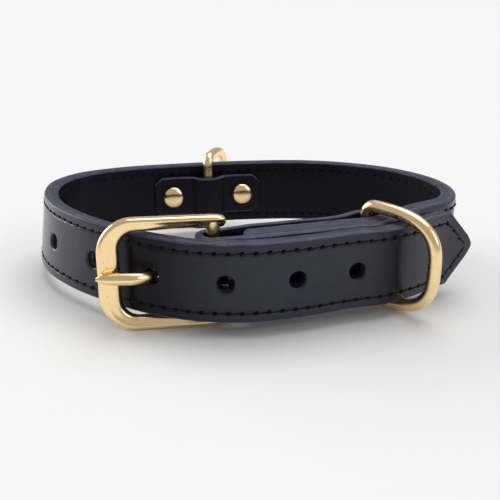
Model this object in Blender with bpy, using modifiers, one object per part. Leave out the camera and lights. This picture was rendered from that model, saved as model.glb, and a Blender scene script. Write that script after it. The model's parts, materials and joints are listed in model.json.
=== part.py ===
"""Dog collar of two-ply leather, buckled, with a brass half buckle, two D-rings and a riveted tab.

The strap is one long route seen from above. It starts at the pointed free end, runs left along the
front and through the buckle, round the left end, the back and the right end, and comes back along
the front behind the free end to the buckle's heel bar. There the outer ply folds round the bar and
returns inside, over the front ring's bar. Lengths are metres, +Z is up and +Y is to the back.
"""
import math
from collections import namedtuple

import bmesh
import bpy
import numpy as np
from mathutils import Matrix, Vector

MM = 0.001
MERGE = 0.01 * MM

# Loop, measured on the strap's outer face at half its height
LOOP_WIDTH = 151.6 * MM
LOOP_DEPTH = 104.6 * MM

# Leather
STRAP_WIDTH = 25.0 * MM
OUTER_PLY = 2.5 * MM
LINING_PLY = 2.2 * MM
STACK_LINING = 6.0 * MM
PLY_GAP = 0.2 * MM
EDGE_CHAMFER = 0.45 * MM
ROUTE_STEP = 4.0 * MM
CLEARANCE = 0.3 * MM

# Holes in the free end
HOLE_DIAMETER = 5.4 * MM
HOLE_SIDES = 20
HOLE_PITCH = 22.9 * MM
PRONG_HOLE_PAST_HEEL = 18.323 * MM

# Fold of the outer ply round the heel bar
HEEL_FROM_TIP = 96.0 * MM
HEEL_BAR_DIAMETER = 4.2 * MM
FOLD_SLACK = 1.1 * MM
FOLD_WIDTH = 19.5 * MM
FOLD_SEGMENTS = 12
LINING_FROM_HEEL = 11.0 * MM
RETURN_LENGTH = 73.5 * MM
PRONG_SLOT = 5.0 * MM
SLOT_PAST_RETURN = 2.0 * MM

# Buckle frame
BUCKLE_REACH = 31.8 * MM
BUCKLE_HEIGHT = 35.0 * MM
BUCKLE_ARM = 4.1 * MM
BUCKLE_FRONT_BAR = 6.5 * MM
BUCKLE_THICKNESS = 4.4 * MM
BUCKLE_OUTER_RADIUS = 11.0 * MM
BUCKLE_INNER_RADIUS = 5.6 * MM
BUCKLE_EAR = 3.9 * MM
BUCKLE_EAR_ROUND = 1.6 * MM
BUCKLE_CHAMFER = 1.1 * MM
BUCKLE_SWING = 15.6
BUCKLE_LEAN = 5.0
CORNER_SEGMENTS = 7
EAR_SEGMENTS = 3
HEEL_BAR_SIDES = 20

# Prong
PRONG_DIAMETER = 3.6 * MM
PRONG_LOOP_WIRE = 2.2 * MM
PRONG_LOOP_TURN = 255.0
PRONG_LOOP_POINTS = 14
PRONG_STEP = 1.3 * MM

# D-rings
RING_WIRE = 4.1 * MM
RING_INNER_HEIGHT = 27.2 * MM
RING_INNER_DEPTH = 22.0 * MM
RING_PLAY = 0.45 * MM
RING_CORNER = 3.2 * MM
RING_BOW_POWER = 3.1
RING_SIDES_RESOLUTION = 3
RING_CORNER_STEPS = 4
RING_BOW_STEPS = 30
FRONT_RING_FROM_HEEL = 59.0 * MM
FRONT_RING_SWING = 6.0
REAR_RING_SWING = 23.0

# Rear tab and its rivets
TAB_LENGTH = 44.5 * MM
TAB_WIDTH = 16.0 * MM
TAB_PLY = 2.0 * MM
TAB_FROM_TIP = 268.0 * MM
TAB_CORNER = 3.0 * MM
TAB_STEP = 2.2 * MM
RIVET_SPREAD = 29.2 * MM
RIVET_DIAMETER = 8.8 * MM
RIVET_DOME = 2.3 * MM
RIVET_SHANK = 3.0 * MM
RIVET_PUNCH_LENGTH = 24.0 * MM
RIVET_CAP_DIAMETER = 8.0 * MM
RIVET_CAP = 1.1 * MM
RIVET_HOLE_SIDES = 16
RIVET_STEPS = 20
RIVET_DOME_STEPS = 5
RIVET_RIM_SHARE = 0.15
RIVET_CAP_FLAT_SHARE = 0.75

# The hand-punched holes: along as a count of pitches from the prong's hole, away from the tip
Hole = namedtuple("Hole", "place along")
HOLES = (
    Hole("nearest the tip", -2.87),
    Hole("second", -2.0),
    Hole("third", -1.04),
    Hole("prong", 0.0),
    Hole("fifth", 1.08),
    Hole("sixth", 2.12),
)

# The strap's outer face: across as a share of half the loop's width, deep as a share of its depth,
# lean in degrees with the bottom edge outwards, height as a share of the strap's width
Station = namedtuple("Station", "place across deep lean height")
ROUTE = (
    Station("tip", 1.005, 0.331, 0.0, 0.14),
    Station("tip corner", 0.888, 0.281, 0.0, 1.0),
    Station("beyond front ring", 0.686, 0.169, 0.0, 1.0),
    Station("dip under front ring", 0.580, 0.124, 0.0, 1.0),
    Station("front right", 0.455, 0.098, 0.0, 1.0),
    Station("front", 0.244, 0.041, 0.0, 1.0),
    Station("foremost", 0.007, 0.001, 0.0, 1.0),
    Station("over heel bar", -0.178, 0.008, 0.0, 1.0),
    Station("prong", -0.363, 0.056, 2.5, 1.0),
    Station("behind front bar", -0.607, 0.170, 5.0, 1.0),
    Station("left front", -0.746, 0.257, 7.0, 1.0),
    Station("left", -0.902, 0.395, 8.0, 1.0),
    Station("left end", -0.987, 0.553, 8.0, 1.0),
    Station("left end rear", -0.990, 0.677, 7.5, 1.0),
    Station("left rear", -0.904, 0.795, 6.0, 1.0),
    Station("back left", -0.706, 0.879, 3.0, 1.0),
    Station("back tab", -0.376, 0.942, 0.5, 1.0),
    Station("back", 0.020, 0.991, 0.0, 1.0),
    Station("rearmost", 0.284, 1.000, 0.0, 1.0),
    Station("back right", 0.574, 0.953, 0.0, 1.0),
    Station("right rear", 0.819, 0.845, 0.0, 1.0),
    Station("right end rear", 0.962, 0.700, 0.0, 1.0),
    Station("right end", 0.998, 0.562, 0.0, 1.0),
    Station("right return", 0.960, 0.447, 0.0, 1.0),
)

# The buckle end behind the free end: along as a share of the way from the tip to the heel bar,
# gap from the free end's lining, and how far the lining has thickened towards the stack's
RIGHT_END_STACK = 0.25
Nest = namedtuple("Nest", "place along gap stack")
NEST = (
    Nest("tip stands off", 0.17, 4.3 * MM, 0.35),
    Nest("beyond front ring", 0.28, 2.2 * MM, 0.6),
    Nest("front ring", 0.38, 0.9 * MM, 0.9),
    Nest("right of the holes", 0.52, 0.8 * MM, 1.0),
    Nest("front gap", 0.70, 1.6 * MM, 1.0),
    Nest("near heel", 0.90, 0.7 * MM, 1.0),
    Nest("heel", 1.0, 0.6 * MM, 1.0),
)

# The outer ply's return inside the collar: along is the way from the heel bar as a share of the way
# to the front ring, and gap is the room between it and the lining
Return = namedtuple("Return", "place along gap")
RETURN = (
    Return("past lining end", 0.26, 2.0 * MM),
    Return("flat", 0.50, 1.7 * MM),
    Return("rise to ring", 0.80, 2.6 * MM),
)
RING_POCKET = 3.0 * MM
RETURN_END_GAP = 0.6 * MM

# The tab's inner line over the rear ring's bar: along as a share of half its length, rise as a
# share of the bar's wire
TabPoint = namedtuple("TabPoint", "along rise")
TAB_LINE = (
    TabPoint(-1.0, 0.0),
    TabPoint(-0.80, 0.0),
    TabPoint(-0.60, 0.0),
    TabPoint(-0.42, 0.0),
    TabPoint(-0.27, 0.18),
    TabPoint(-0.13, 0.88),
    TabPoint(0.0, 1.10),
    TabPoint(0.13, 0.88),
    TabPoint(0.27, 0.18),
    TabPoint(0.42, 0.0),
    TabPoint(0.60, 0.0),
    TabPoint(0.80, 0.0),
    TabPoint(1.0, 0.0),
)

# The prong's bends after its loop: along and rise from the anchor in prong diameters, and the width
# as a share of the prong's diameter, never thinner than the loop's wire before the front bar
PRONG_LEAD = 0.38
ProngBend = namedtuple("ProngBend", "place anchor along rise width")
PRONG_BENDS = (
    ProngBend("leaves the loop", "way", 0.0, -0.20, 0.0),
    ProngBend("behind the free end", "lining", -1.05, -0.18, 0.0),
    ProngBend("into the hole", "lining", -0.16, 0.08, 0.0),
    ProngBend("in the hole", "hole", 0.0, 0.0, 0.0),
    ProngBend("out of the hole", "face", 0.20, 0.15, 0.85),
    ProngBend("root", "face", 1.30, 0.62, 1.0),
    ProngBend("before the bar", "bar", -1.35, 0.14, 1.0),
    ProngBend("on the bar", "bar", 0.0, 0.0, 0.9),
    ProngBend("point's start", "bar", 0.60, -0.06, 0.62),
    ProngBend("point", "bar", 1.0, -0.12, 0.28),
)

LEATHER = ((0.018, 0.018, 0.026), 0.38, 0.0)
LINING = ((0.012, 0.012, 0.016), 0.62, 0.0)
BRASS = ((0.83, 0.60, 0.30), 0.22, 1.0)


# Measures that follow from the sizes above
strap_thickness = OUTER_PLY + PLY_GAP + LINING_PLY
ring_radius = RING_WIRE / 2
ring_outer_height = RING_INNER_HEIGHT + 2 * RING_WIRE
mid_height = max(ring_outer_height, BUCKLE_HEIGHT) / 2
fold_radius = HEEL_BAR_DIAMETER / 2 + FOLD_SLACK + OUTER_PLY


# Routes seen from above
class Route:
    """A smooth line through points in plan, with columns that are carried along it."""

    def __init__(self, points, columns=None, step=ROUTE_STEP, resample=True):
        points = np.array(points, float)
        columns = {} if columns is None else {k: np.array(v, float) for k, v in columns.items()}
        if resample:
            points, columns = self.smooth(points, columns, step)
        self.points = points
        self.columns = columns
        steps = np.linalg.norm(np.diff(points, axis=0), axis=1)
        self.along = np.concatenate([[0.0], np.cumsum(steps)])
        self.length = self.along[-1]
        ahead = np.gradient(points, self.along, axis=0)
        self.ahead = ahead / np.linalg.norm(ahead, axis=1)[:, None]
        self.inward = np.column_stack([self.ahead[:, 1], -self.ahead[:, 0]])

    @staticmethod
    def smooth(points, columns, step):
        """Cubic pieces through the points, each with its tangent from its two neighbours."""
        chord = np.linalg.norm(np.diff(points, axis=0), axis=1)
        knots = np.concatenate([[0.0], np.cumsum(chord)])
        tangents = np.gradient(points, knots, axis=0)
        line, carried = [points[0]], {k: [v[0]] for k, v in columns.items()}
        for i, span in enumerate(chord):
            count = max(1, math.ceil(span / step))
            for j in range(1, count + 1):
                t = j / count
                h = (2 * t**3 - 3 * t**2 + 1, t**3 - 2 * t**2 + t, 3 * t**2 - 2 * t**3, t**3 - t**2)
                line.append(h[0] * points[i] + h[1] * span * tangents[i]
                            + h[2] * points[i + 1] + h[3] * span * tangents[i + 1])
                for k, v in columns.items():
                    carried[k].append(v[i] + (v[i + 1] - v[i]) * t)
        return np.array(line), {k: np.array(v) for k, v in carried.items()}

    def at(self, s):
        """The point, its direction and its inward direction at a distance along the route."""
        point = np.array([np.interp(s, self.along, self.points[:, k]) for k in (0, 1)])
        ahead = np.array([np.interp(s, self.along, self.ahead[:, k]) for k in (0, 1)])
        ahead /= np.linalg.norm(ahead)
        return point, ahead, np.array([ahead[1], -ahead[0]])

    def column(self, name, s):
        return float(np.interp(s, self.along, self.columns[name]))

    def offset(self, distances):
        """The same route moved inwards, with one distance or one for each point."""
        moved = self.points + self.inward * np.broadcast_to(distances, self.along.shape)[:, None]
        return Route(moved, self.columns, resample=False)

    def part(self, start, end):
        """The stretch between two distances, with a point at each."""
        inside = (self.along > start + CLEARANCE) & (self.along < end - CLEARANCE)
        s = np.concatenate([[start], self.along[inside], [end]])
        points = np.column_stack([np.interp(s, self.along, self.points[:, k]) for k in (0, 1)])
        columns = {k: np.interp(s, self.along, v) for k, v in self.columns.items()}
        return Route(points, columns, resample=False)


def free_end_route():
    """The strap's outer face from the tip to the right end."""
    points = [(p.across * LOOP_WIDTH / 2, (p.deep - 0.5) * LOOP_DEPTH) for p in ROUTE]
    columns = {
        "lean": [math.radians(p.lean) for p in ROUTE],
        "height": [p.height for p in ROUTE],
        "stack": [0.0] * len(ROUTE),
    }
    return points, columns


def heel_frame(loop):
    """The heel bar's centre, with the strap's direction and its inward direction there."""
    point, ahead, inward = loop.at(HEEL_FROM_TIP)
    return point + inward * (strap_thickness + NEST[-1].gap + fold_radius), ahead, inward


def strap_route():
    """The outer face of the whole strap, from the tip to where it meets the heel bar's fold."""
    points, columns = free_end_route()
    loop = Route(points, columns)
    for nest in NEST:
        point, _, inward = loop.at(nest.along * HEEL_FROM_TIP)
        points.append(tuple(point + inward * (strap_thickness + nest.gap)))
        columns["lean"].append(0.0)
        columns["height"].append(1.0)
        columns["stack"].append(nest.stack)
    columns["stack"][len(ROUTE) - 1] = RIGHT_END_STACK
    columns["height"][-1] = FOLD_WIDTH / STRAP_WIDTH
    return Route(points, columns)


def lining_thickness(stack):
    return LINING_PLY + (STACK_LINING - LINING_PLY) * stack


def return_route(strap, heel):
    """The outer ply's fold round the heel bar and its return inside, on the grain side."""
    centre, ahead, inward = heel
    points = []
    for i in range(FOLD_SEGMENTS + 1):
        turn = math.pi * i / FOLD_SEGMENTS
        points.append(centre - inward * math.cos(turn) * fold_radius + ahead * math.sin(turn) * fold_radius)
    fold_count = len(points)
    heights = [FOLD_WIDTH / STRAP_WIDTH] * fold_count
    pocket = RING_WIRE + 2 * RING_PLAY
    plan = [(p.along * FRONT_RING_FROM_HEEL, p.gap) for p in RETURN]
    plan.append((FRONT_RING_FROM_HEEL - RING_POCKET, pocket))
    plan.append((FRONT_RING_FROM_HEEL + RING_POCKET, pocket))
    plan.append(((FRONT_RING_FROM_HEEL + RING_POCKET + RETURN_LENGTH) / 2, (pocket + RETURN_END_GAP) / 2))
    plan.append((RETURN_LENGTH, RETURN_END_GAP))
    for distance, gap in plan:
        s = strap.length - distance
        point, _, inside = strap.at(s)
        room = OUTER_PLY + PLY_GAP + lining_thickness(strap.column("stack", s)) + gap + OUTER_PLY
        points.append(point + inside * room)
        heights.append(1.0)
    tail = Route(points[fold_count - 1:], {"height": heights[fold_count - 1:]})
    line = np.vstack([points[:fold_count - 1], tail.points])
    height = np.concatenate([heights[:fold_count - 1], tail.columns["height"]])
    return Route(line, {"height": height}, resample=False)


# Scene, materials and small helpers
def clear_scene():
    for thing in list(bpy.data.objects):
        bpy.data.objects.remove(thing, do_unlink=True)


def collection(name):
    made = bpy.data.collections.new(name)
    bpy.context.scene.collection.children.link(made)
    return made


def material(name, look):
    colour, roughness, metallic = look
    made = bpy.data.materials.new(name)
    made.use_nodes = True
    shader = made.node_tree.nodes["Principled BSDF"]
    shader.inputs["Base Color"].default_value = (*colour, 1.0)
    shader.inputs["Roughness"].default_value = roughness
    shader.inputs["Metallic"].default_value = metallic
    return made


def add_object(name, data, group, look=None):
    made = bpy.data.objects.new(name, data)
    group.objects.link(made)
    if look is not None:
        data.materials.append(material(name, look))
    return made


def add_cutter(name, data, cutters):
    made = add_object(name, data, cutters)
    made.hide_render = True
    made.display_type = "WIRE"
    return made


def cut(target, cutter):
    step = target.modifiers.new("cut " + cutter.name, "BOOLEAN")
    step.operation = "DIFFERENCE"
    step.object = cutter
    step.solver = "EXACT"
    return step


def chamfer(target, width, segments=1, angle=40.0):
    step = target.modifiers.new("edges", "BEVEL")
    step.width = width
    step.segments = segments
    step.limit_method = "ANGLE"
    step.angle_limit = math.radians(angle)
    return step


def shade_round(mesh, angle=35.0):
    mesh.shade_smooth()
    mesh.set_sharp_from_angle(angle=math.radians(angle))


# Leather
def ribbon(name, route, width, group, look, centre_height):
    """An upright strip along a route, its grain side facing away from the route's inward side."""
    half = width / 2
    lean = route.columns.get("lean", np.zeros(len(route.along)))
    work = bmesh.new()
    rows = []
    for i, point in enumerate(route.points):
        reach = half * route.columns["height"][i]
        row = []
        for side in (-1, 1):
            rise = side * reach * math.cos(lean[i])
            shift = side * reach * math.sin(lean[i])
            x, y = point + route.inward[i] * shift
            row.append(work.verts.new((x, y, centre_height + rise)))
        rows.append(row)
    for a, b in zip(rows, rows[1:]):
        work.faces.new((a[0], a[1], b[1], b[0]))
    mesh = bpy.data.meshes.new(name)
    work.to_mesh(mesh)
    work.free()
    return add_object(name, mesh, group, look)


def thicken(target, thickness, shares=None):
    """Gives a strip its wall on the inward side, thinner where a share says so."""
    step = target.modifiers.new("wall", "SOLIDIFY")
    step.thickness = thickness
    step.offset = -1.0
    step.use_even_offset = True
    if shares is not None:
        weights = target.vertex_groups.new(name="wall")
        for i, share in enumerate(shares):
            weights.add([2 * i, 2 * i + 1], share, "REPLACE")
        step.vertex_group = "wall"
    return step


def punch(name, places, diameter, depth, cutters, segments=HOLE_SIDES):
    """One cutter of round punches, each on a place and along a direction."""
    work = bmesh.new()
    for place, direction in places:
        turn = direction.to_track_quat("Z", "Y").to_matrix().to_4x4()
        bmesh.ops.create_cone(work, cap_ends=True, segments=segments, radius1=diameter / 2,
                              radius2=diameter / 2, depth=depth,
                              matrix=Matrix.Translation(place) @ turn)
    mesh = bpy.data.meshes.new(name)
    work.to_mesh(mesh)
    work.free()
    return add_cutter(name, mesh, cutters)


def face_point(route, s, rise=0.0):
    """A point on the strap's outer face and the inward direction square to it."""
    point, _, inward = route.at(s)
    lean = route.column("lean", s)
    place = Vector((*point, mid_height + rise))
    square = Vector((inward[0] * math.cos(lean), inward[1] * math.cos(lean), -math.sin(lean)))
    return place, square


def hole_distances():
    """How far each hole is from the tip, by its place."""
    prong_hole = HEEL_FROM_TIP + PRONG_HOLE_PAST_HEEL
    return {hole.place: prong_hole + hole.along * HOLE_PITCH for hole in HOLES}


def build_strap(strap, heel, collar, cutters):
    """The outer ply in one piece and the lining ply behind it."""
    tail = return_route(strap, heel)
    strap_columns = {"height": strap.columns["height"], "lean": strap.columns["lean"]}
    line = np.vstack([strap.points, tail.points[1:]])
    columns = {
        "height": np.concatenate([strap_columns["height"], tail.columns["height"][1:]]),
        "lean": np.concatenate([strap_columns["lean"], np.zeros(len(tail.points) - 1)]),
    }
    whole = Route(line, columns, resample=False)
    outer = ribbon("strap_outer_ply", whole, STRAP_WIDTH, collar, LEATHER, mid_height)
    thicken(outer, OUTER_PLY)
    chamfer(outer, EDGE_CHAMFER)

    lining_run = strap.part(0.0, strap.length - LINING_FROM_HEEL).offset(OUTER_PLY + PLY_GAP)
    lining = ribbon("strap_lining_ply", lining_run, STRAP_WIDTH, collar, LINING, mid_height)
    shares = [lining_thickness(s) / STACK_LINING for s in lining_run.columns["stack"]]
    thicken(lining, STACK_LINING, shares)
    chamfer(lining, EDGE_CHAMFER)

    places = [face_point(strap, s) for s in hole_distances().values()]
    holes = punch("hole_punch", places, HOLE_DIAMETER, 2 * (strap_thickness + CLEARANCE), cutters)
    cut(outer, holes)
    cut(lining, holes)
    rivet_holes = punch("rivet_punch", [place[:2] for place in rivet_places(strap)],
                        RIVET_SHANK + 2 * CLEARANCE, RIVET_PUNCH_LENGTH, cutters, RIVET_HOLE_SIDES)
    cut(outer, rivet_holes)
    cut(lining, rivet_holes)

    slot = slot_cutter(heel, cutters)
    cut(outer, slot)
    return outer, lining, rivet_holes


def slot_cutter(heel, cutters):
    """The slot that lets the prong out of the fold, longer on the side of the ply's return."""
    centre, ahead, _ = heel
    reach = fold_radius + NEST[-1].gap - CLEARANCE / 2
    work = bmesh.new()
    bmesh.ops.create_cube(work, size=1.0)
    bmesh.ops.scale(work, vec=(2 * reach, 2 * reach + SLOT_PAST_RETURN, PRONG_SLOT), verts=work.verts)
    bmesh.ops.translate(work, vec=(0.0, -SLOT_PAST_RETURN / 2, 0.0), verts=work.verts)
    mesh = bpy.data.meshes.new("prong_slot")
    work.to_mesh(mesh)
    work.free()
    made = add_cutter("prong_slot", mesh, cutters)
    made.location = (centre[0], centre[1], mid_height)
    made.rotation_euler.z = math.atan2(ahead[1], ahead[0])
    return made


# Buckle
def frame_stations():
    """Matching points on the frame's outer and inner outlines, from one arm's end round to the other,
    each with the share of the bevel that the crown has lost there."""
    half = BUCKLE_HEIGHT / 2
    inner = half - BUCKLE_ARM
    front = BUCKLE_REACH + BUCKLE_FRONT_BAR / 2
    window = BUCKLE_REACH - BUCKLE_FRONT_BAR / 2
    outer_middle = np.array([front - BUCKLE_OUTER_RADIUS, half - BUCKLE_OUTER_RADIUS])
    inner_middle = np.array([window - BUCKLE_INNER_RADIUS, inner - BUCKLE_INNER_RADIUS])
    stations = []
    for i in range(EAR_SEGMENTS + 1):
        angle = math.pi / 2 * i / EAR_SEGMENTS
        x = BUCKLE_EAR_ROUND * (1 - math.cos(angle)) - BUCKLE_EAR
        inset = BUCKLE_EAR_ROUND * (1 - math.sin(angle))
        stations.append((np.array([x, half - inset]), np.array([x, inner + inset]), 1 - math.sin(angle)))
    for i in range(CORNER_SEGMENTS + 1):
        angle = math.pi / 2 * (1 - i / CORNER_SEGMENTS)
        way = np.array([math.cos(angle), math.sin(angle)])
        stations.append((outer_middle + BUCKLE_OUTER_RADIUS * way,
                         inner_middle + BUCKLE_INNER_RADIUS * way, 0.0))
    flip = np.array([1.0, -1.0])
    return stations + [(a * flip, b * flip, lost) for a, b, lost in reversed(stations)]


def buckle_matrix(heel):
    """Buckle axes: X from the heel bar to the front bar, Y down, Z out towards the front."""
    centre, ahead, _ = heel
    heading = math.atan2(ahead[1], ahead[0]) + math.radians(BUCKLE_SWING)
    along = Vector((math.cos(heading), math.sin(heading), 0.0))
    out = Vector((-along.y, along.x, 0.0))
    lean = Matrix.Rotation(math.radians(BUCKLE_LEAN), 3, along)
    out = lean @ out
    turn = Matrix((along, out.cross(along), out)).transposed().to_4x4()
    return Matrix.Translation((centre[0], centre[1], mid_height)) @ turn


def build_buckle(heel, collar):
    """The frame: two arms and a front bar in one plate, with the round heel bar between the arms."""
    crown = BUCKLE_THICKNESS / 2
    work = bmesh.new()
    rings = []
    for outer, inner, lost in frame_stations():
        across = (inner - outer) / np.linalg.norm(inner - outer)
        shoulder = crown - BUCKLE_CHAMFER
        top = crown - BUCKLE_CHAMFER * lost
        section = ((outer, -shoulder), (outer, shoulder), (outer + across * BUCKLE_CHAMFER, top),
                   (inner - across * BUCKLE_CHAMFER, top), (inner, shoulder), (inner, -shoulder),
                   (inner - across * BUCKLE_CHAMFER, -top), (outer + across * BUCKLE_CHAMFER, -top))
        if lost == 1.0:
            section = tuple((end, z) for end, z in section if abs(z) == shoulder and (end is outer or end is inner))
        rings.append([work.verts.new((*end, z)) for end, z in section])
    for a, b in zip(rings[1:-1], rings[2:-1]):
        for i in range(len(a)):
            n = (i + 1) % len(a)
            work.faces.new((a[i], b[i], b[n], a[n]))
    for end, ring in ((rings[0], rings[1]), (rings[-1], rings[-2])):
        work.faces.new(end)
        work.faces.new((end[0], end[1], ring[1], ring[0]))
        work.faces.new((end[1], end[2], ring[4], ring[3], ring[2], ring[1]))
        work.faces.new((end[2], end[3], ring[5], ring[4]))
        work.faces.new((end[3], end[0], ring[0], ring[7], ring[6], ring[5]))
    bmesh.ops.triangulate(work, faces=work.faces)
    bmesh.ops.recalc_face_normals(work, faces=work.faces)
    plate = bpy.data.meshes.new("buckle_frame")
    work.to_mesh(plate)
    work.free()
    frame = add_object("buckle_frame", plate, collar, BRASS)
    frame.matrix_world = buckle_matrix(heel)
    shade_round(frame.data)

    work = bmesh.new()
    depth = BUCKLE_HEIGHT - BUCKLE_ARM
    bmesh.ops.create_cone(work, cap_ends=True, segments=HEEL_BAR_SIDES, radius1=HEEL_BAR_DIAMETER / 2,
                          radius2=HEEL_BAR_DIAMETER / 2, depth=depth,
                          matrix=Matrix.Rotation(math.pi / 2, 4, "X"))
    mesh = bpy.data.meshes.new("heel_bar")
    work.to_mesh(mesh)
    work.free()
    return frame, mesh


def join_heel_bar(frame, mesh, cutters):
    bar = add_cutter("heel_bar", mesh, cutters)
    bar.matrix_world = frame.matrix_world
    step = frame.modifiers.new("heel bar", "BOOLEAN")
    step.operation = "UNION"
    step.object = bar
    step.solver = "EXACT"


def prong_path(strap, heel):
    """The prong's line in the buckle's axes: round the heel bar, behind the free end, up through
    its hole and over the front bar."""
    place = buckle_matrix(heel)
    into = place.inverted()
    loop_radius = HEEL_BAR_DIAMETER / 2 + CLEARANCE + PRONG_LOOP_WIRE / 2
    thin = PRONG_LOOP_WIRE / PRONG_DIAMETER
    points = []
    for i in range(PRONG_LOOP_POINTS + 1):
        angle = math.radians(90.0 + PRONG_LOOP_TURN * (1 - i / PRONG_LOOP_POINTS))
        points.append((loop_radius * math.cos(angle), loop_radius * math.sin(angle), thin))

    face, square = face_point(strap, hole_distances()["prong"])
    outside = into @ face
    way = (into.to_3x3() @ -square).normalized()
    lining = outside - way * strap_thickness
    loop = Vector((0.0, 0.0, loop_radius))
    anchors = {
        "way": loop.lerp(lining, PRONG_LEAD),
        "lining": lining,
        "hole": outside - way * strap_thickness / 2,
        "face": outside,
        "bar": Vector((BUCKLE_REACH, 0.0, BUCKLE_THICKNESS / 2 + CLEARANCE + PRONG_DIAMETER / 2)),
    }
    for bend in PRONG_BENDS:
        anchor = anchors[bend.anchor]
        points.append((anchor.x + bend.along * PRONG_DIAMETER, anchor.z + bend.rise * PRONG_DIAMETER,
                       max(thin, bend.width) if bend.anchor != "bar" else bend.width))
    return points, place


def build_prong(strap, heel, collar):
    points, place = prong_path(strap, heel)
    line = Route([p[:2] for p in points], {"radius": [p[2] for p in points]}, step=PRONG_STEP)
    curve = bpy.data.curves.new("buckle_prong", "CURVE")
    curve.dimensions = "3D"
    curve.bevel_depth = PRONG_DIAMETER / 2
    curve.bevel_resolution = 2
    curve.use_fill_caps = True
    spline = curve.splines.new("POLY")
    spline.points.add(len(line.points) - 1)
    for point, (x, z), radius in zip(spline.points, line.points, line.columns["radius"]):
        point.co = (x, 0.0, z, 1.0)
        point.radius = radius
    prong = add_object("buckle_prong", curve, collar, BRASS)
    prong.matrix_world = place
    return prong


# D-rings
def ring_outline():
    """The wire's middle line: X from the bar to the bow, Y up."""
    half = RING_INNER_HEIGHT / 2 + ring_radius
    depth = RING_INNER_DEPTH + RING_WIRE
    corner = RING_CORNER
    points = [(0.0, y * (half - corner)) for y in (-1.0, -0.5, 0.0, 0.5, 1.0)]
    arc = []
    for i in range(1, RING_CORNER_STEPS):
        angle = math.pi / 2 * i / RING_CORNER_STEPS
        arc.append((corner * (1 - math.cos(angle)), half - corner * (1 - math.sin(angle))))
    points += arc
    for i in range(RING_BOW_STEPS + 1):
        angle = math.pi / 2 - math.pi * i / RING_BOW_STEPS
        along, up = math.cos(angle), math.sin(angle)
        x = corner + (depth - corner) * abs(along) ** (2 / RING_BOW_POWER)
        points.append((x, half * math.copysign(abs(up) ** (2 / RING_BOW_POWER), up)))
    points += [(x, -y) for x, y in reversed(arc)]
    return points


def build_ring(name, place, heading, collar):
    """A ring whose bar stands on the place, with the bow towards the heading."""
    hinge = bpy.data.objects.new(name + "_hinge", None)
    collar.objects.link(hinge)
    hinge.location = (place[0], place[1], mid_height)
    hinge.rotation_euler.z = heading
    curve = bpy.data.curves.new(name, "CURVE")
    curve.dimensions = "3D"
    curve.bevel_depth = ring_radius
    curve.bevel_resolution = RING_SIDES_RESOLUTION
    spline = curve.splines.new("POLY")
    outline = ring_outline()
    spline.points.add(len(outline) - 1)
    for point, (x, y) in zip(spline.points, outline):
        point.co = (x, 0.0, y, 1.0)
    spline.use_cyclic_u = True
    ring = add_object(name, curve, collar, BRASS)
    ring.parent = hinge
    return ring


def front_ring_place(strap):
    """Between the lining and the outer ply's return."""
    s = strap.length - FRONT_RING_FROM_HEEL
    point, _, inward = strap.at(s)
    room = OUTER_PLY + PLY_GAP + lining_thickness(strap.column("stack", s)) + RING_PLAY + ring_radius
    outward = math.atan2(-inward[1], -inward[0])
    return point + inward * room, outward + math.radians(FRONT_RING_SWING)


def rear_ring_place(strap):
    """Between the lining and the tab at the back."""
    point, _, inward = strap.at(TAB_FROM_TIP)
    room = strap_thickness + RING_PLAY + ring_radius
    outward = math.atan2(-inward[1], -inward[0])
    return point + inward * room, outward - math.radians(REAR_RING_SWING)


# Rear tab and rivets
def build_tab(strap, collar, rivet_holes):
    """A short leather strip over the rear ring's bar, lying on the lining at both sides."""
    points, lean = [], []
    for p in TAB_LINE:
        s = TAB_FROM_TIP + p.along * TAB_LENGTH / 2
        point, _, inward = strap.at(s)
        lean.append(strap.column("lean", s))
        rise = p.rise * (RING_WIRE + RING_PLAY)
        points.append(tuple(point + inward * (strap_thickness + CLEARANCE + rise)))
    line = Route(points, {"height": [1.0] * len(points), "lean": lean}, step=TAB_STEP)
    edge = np.minimum(line.along, line.length - line.along)
    line.columns["height"] = 1.0 - 2 * TAB_CORNER / TAB_WIDTH * np.clip(1 - edge / TAB_CORNER, 0, 1) ** 2
    tab = ribbon("rear_tab", line, TAB_WIDTH, collar, LEATHER, mid_height)
    thicken(tab, TAB_PLY)
    chamfer(tab, EDGE_CHAMFER)
    cut(tab, rivet_holes)
    return tab


def rivet_places(strap):
    """The outer face at each rivet and the inward direction, with the names of the two."""
    places = []
    for name, side in (("rivet_left", -1), ("rivet_right", 1)):
        face, square = face_point(strap, TAB_FROM_TIP + side * RIVET_SPREAD / 2)
        places.append((face, square, name))
    return places


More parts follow.
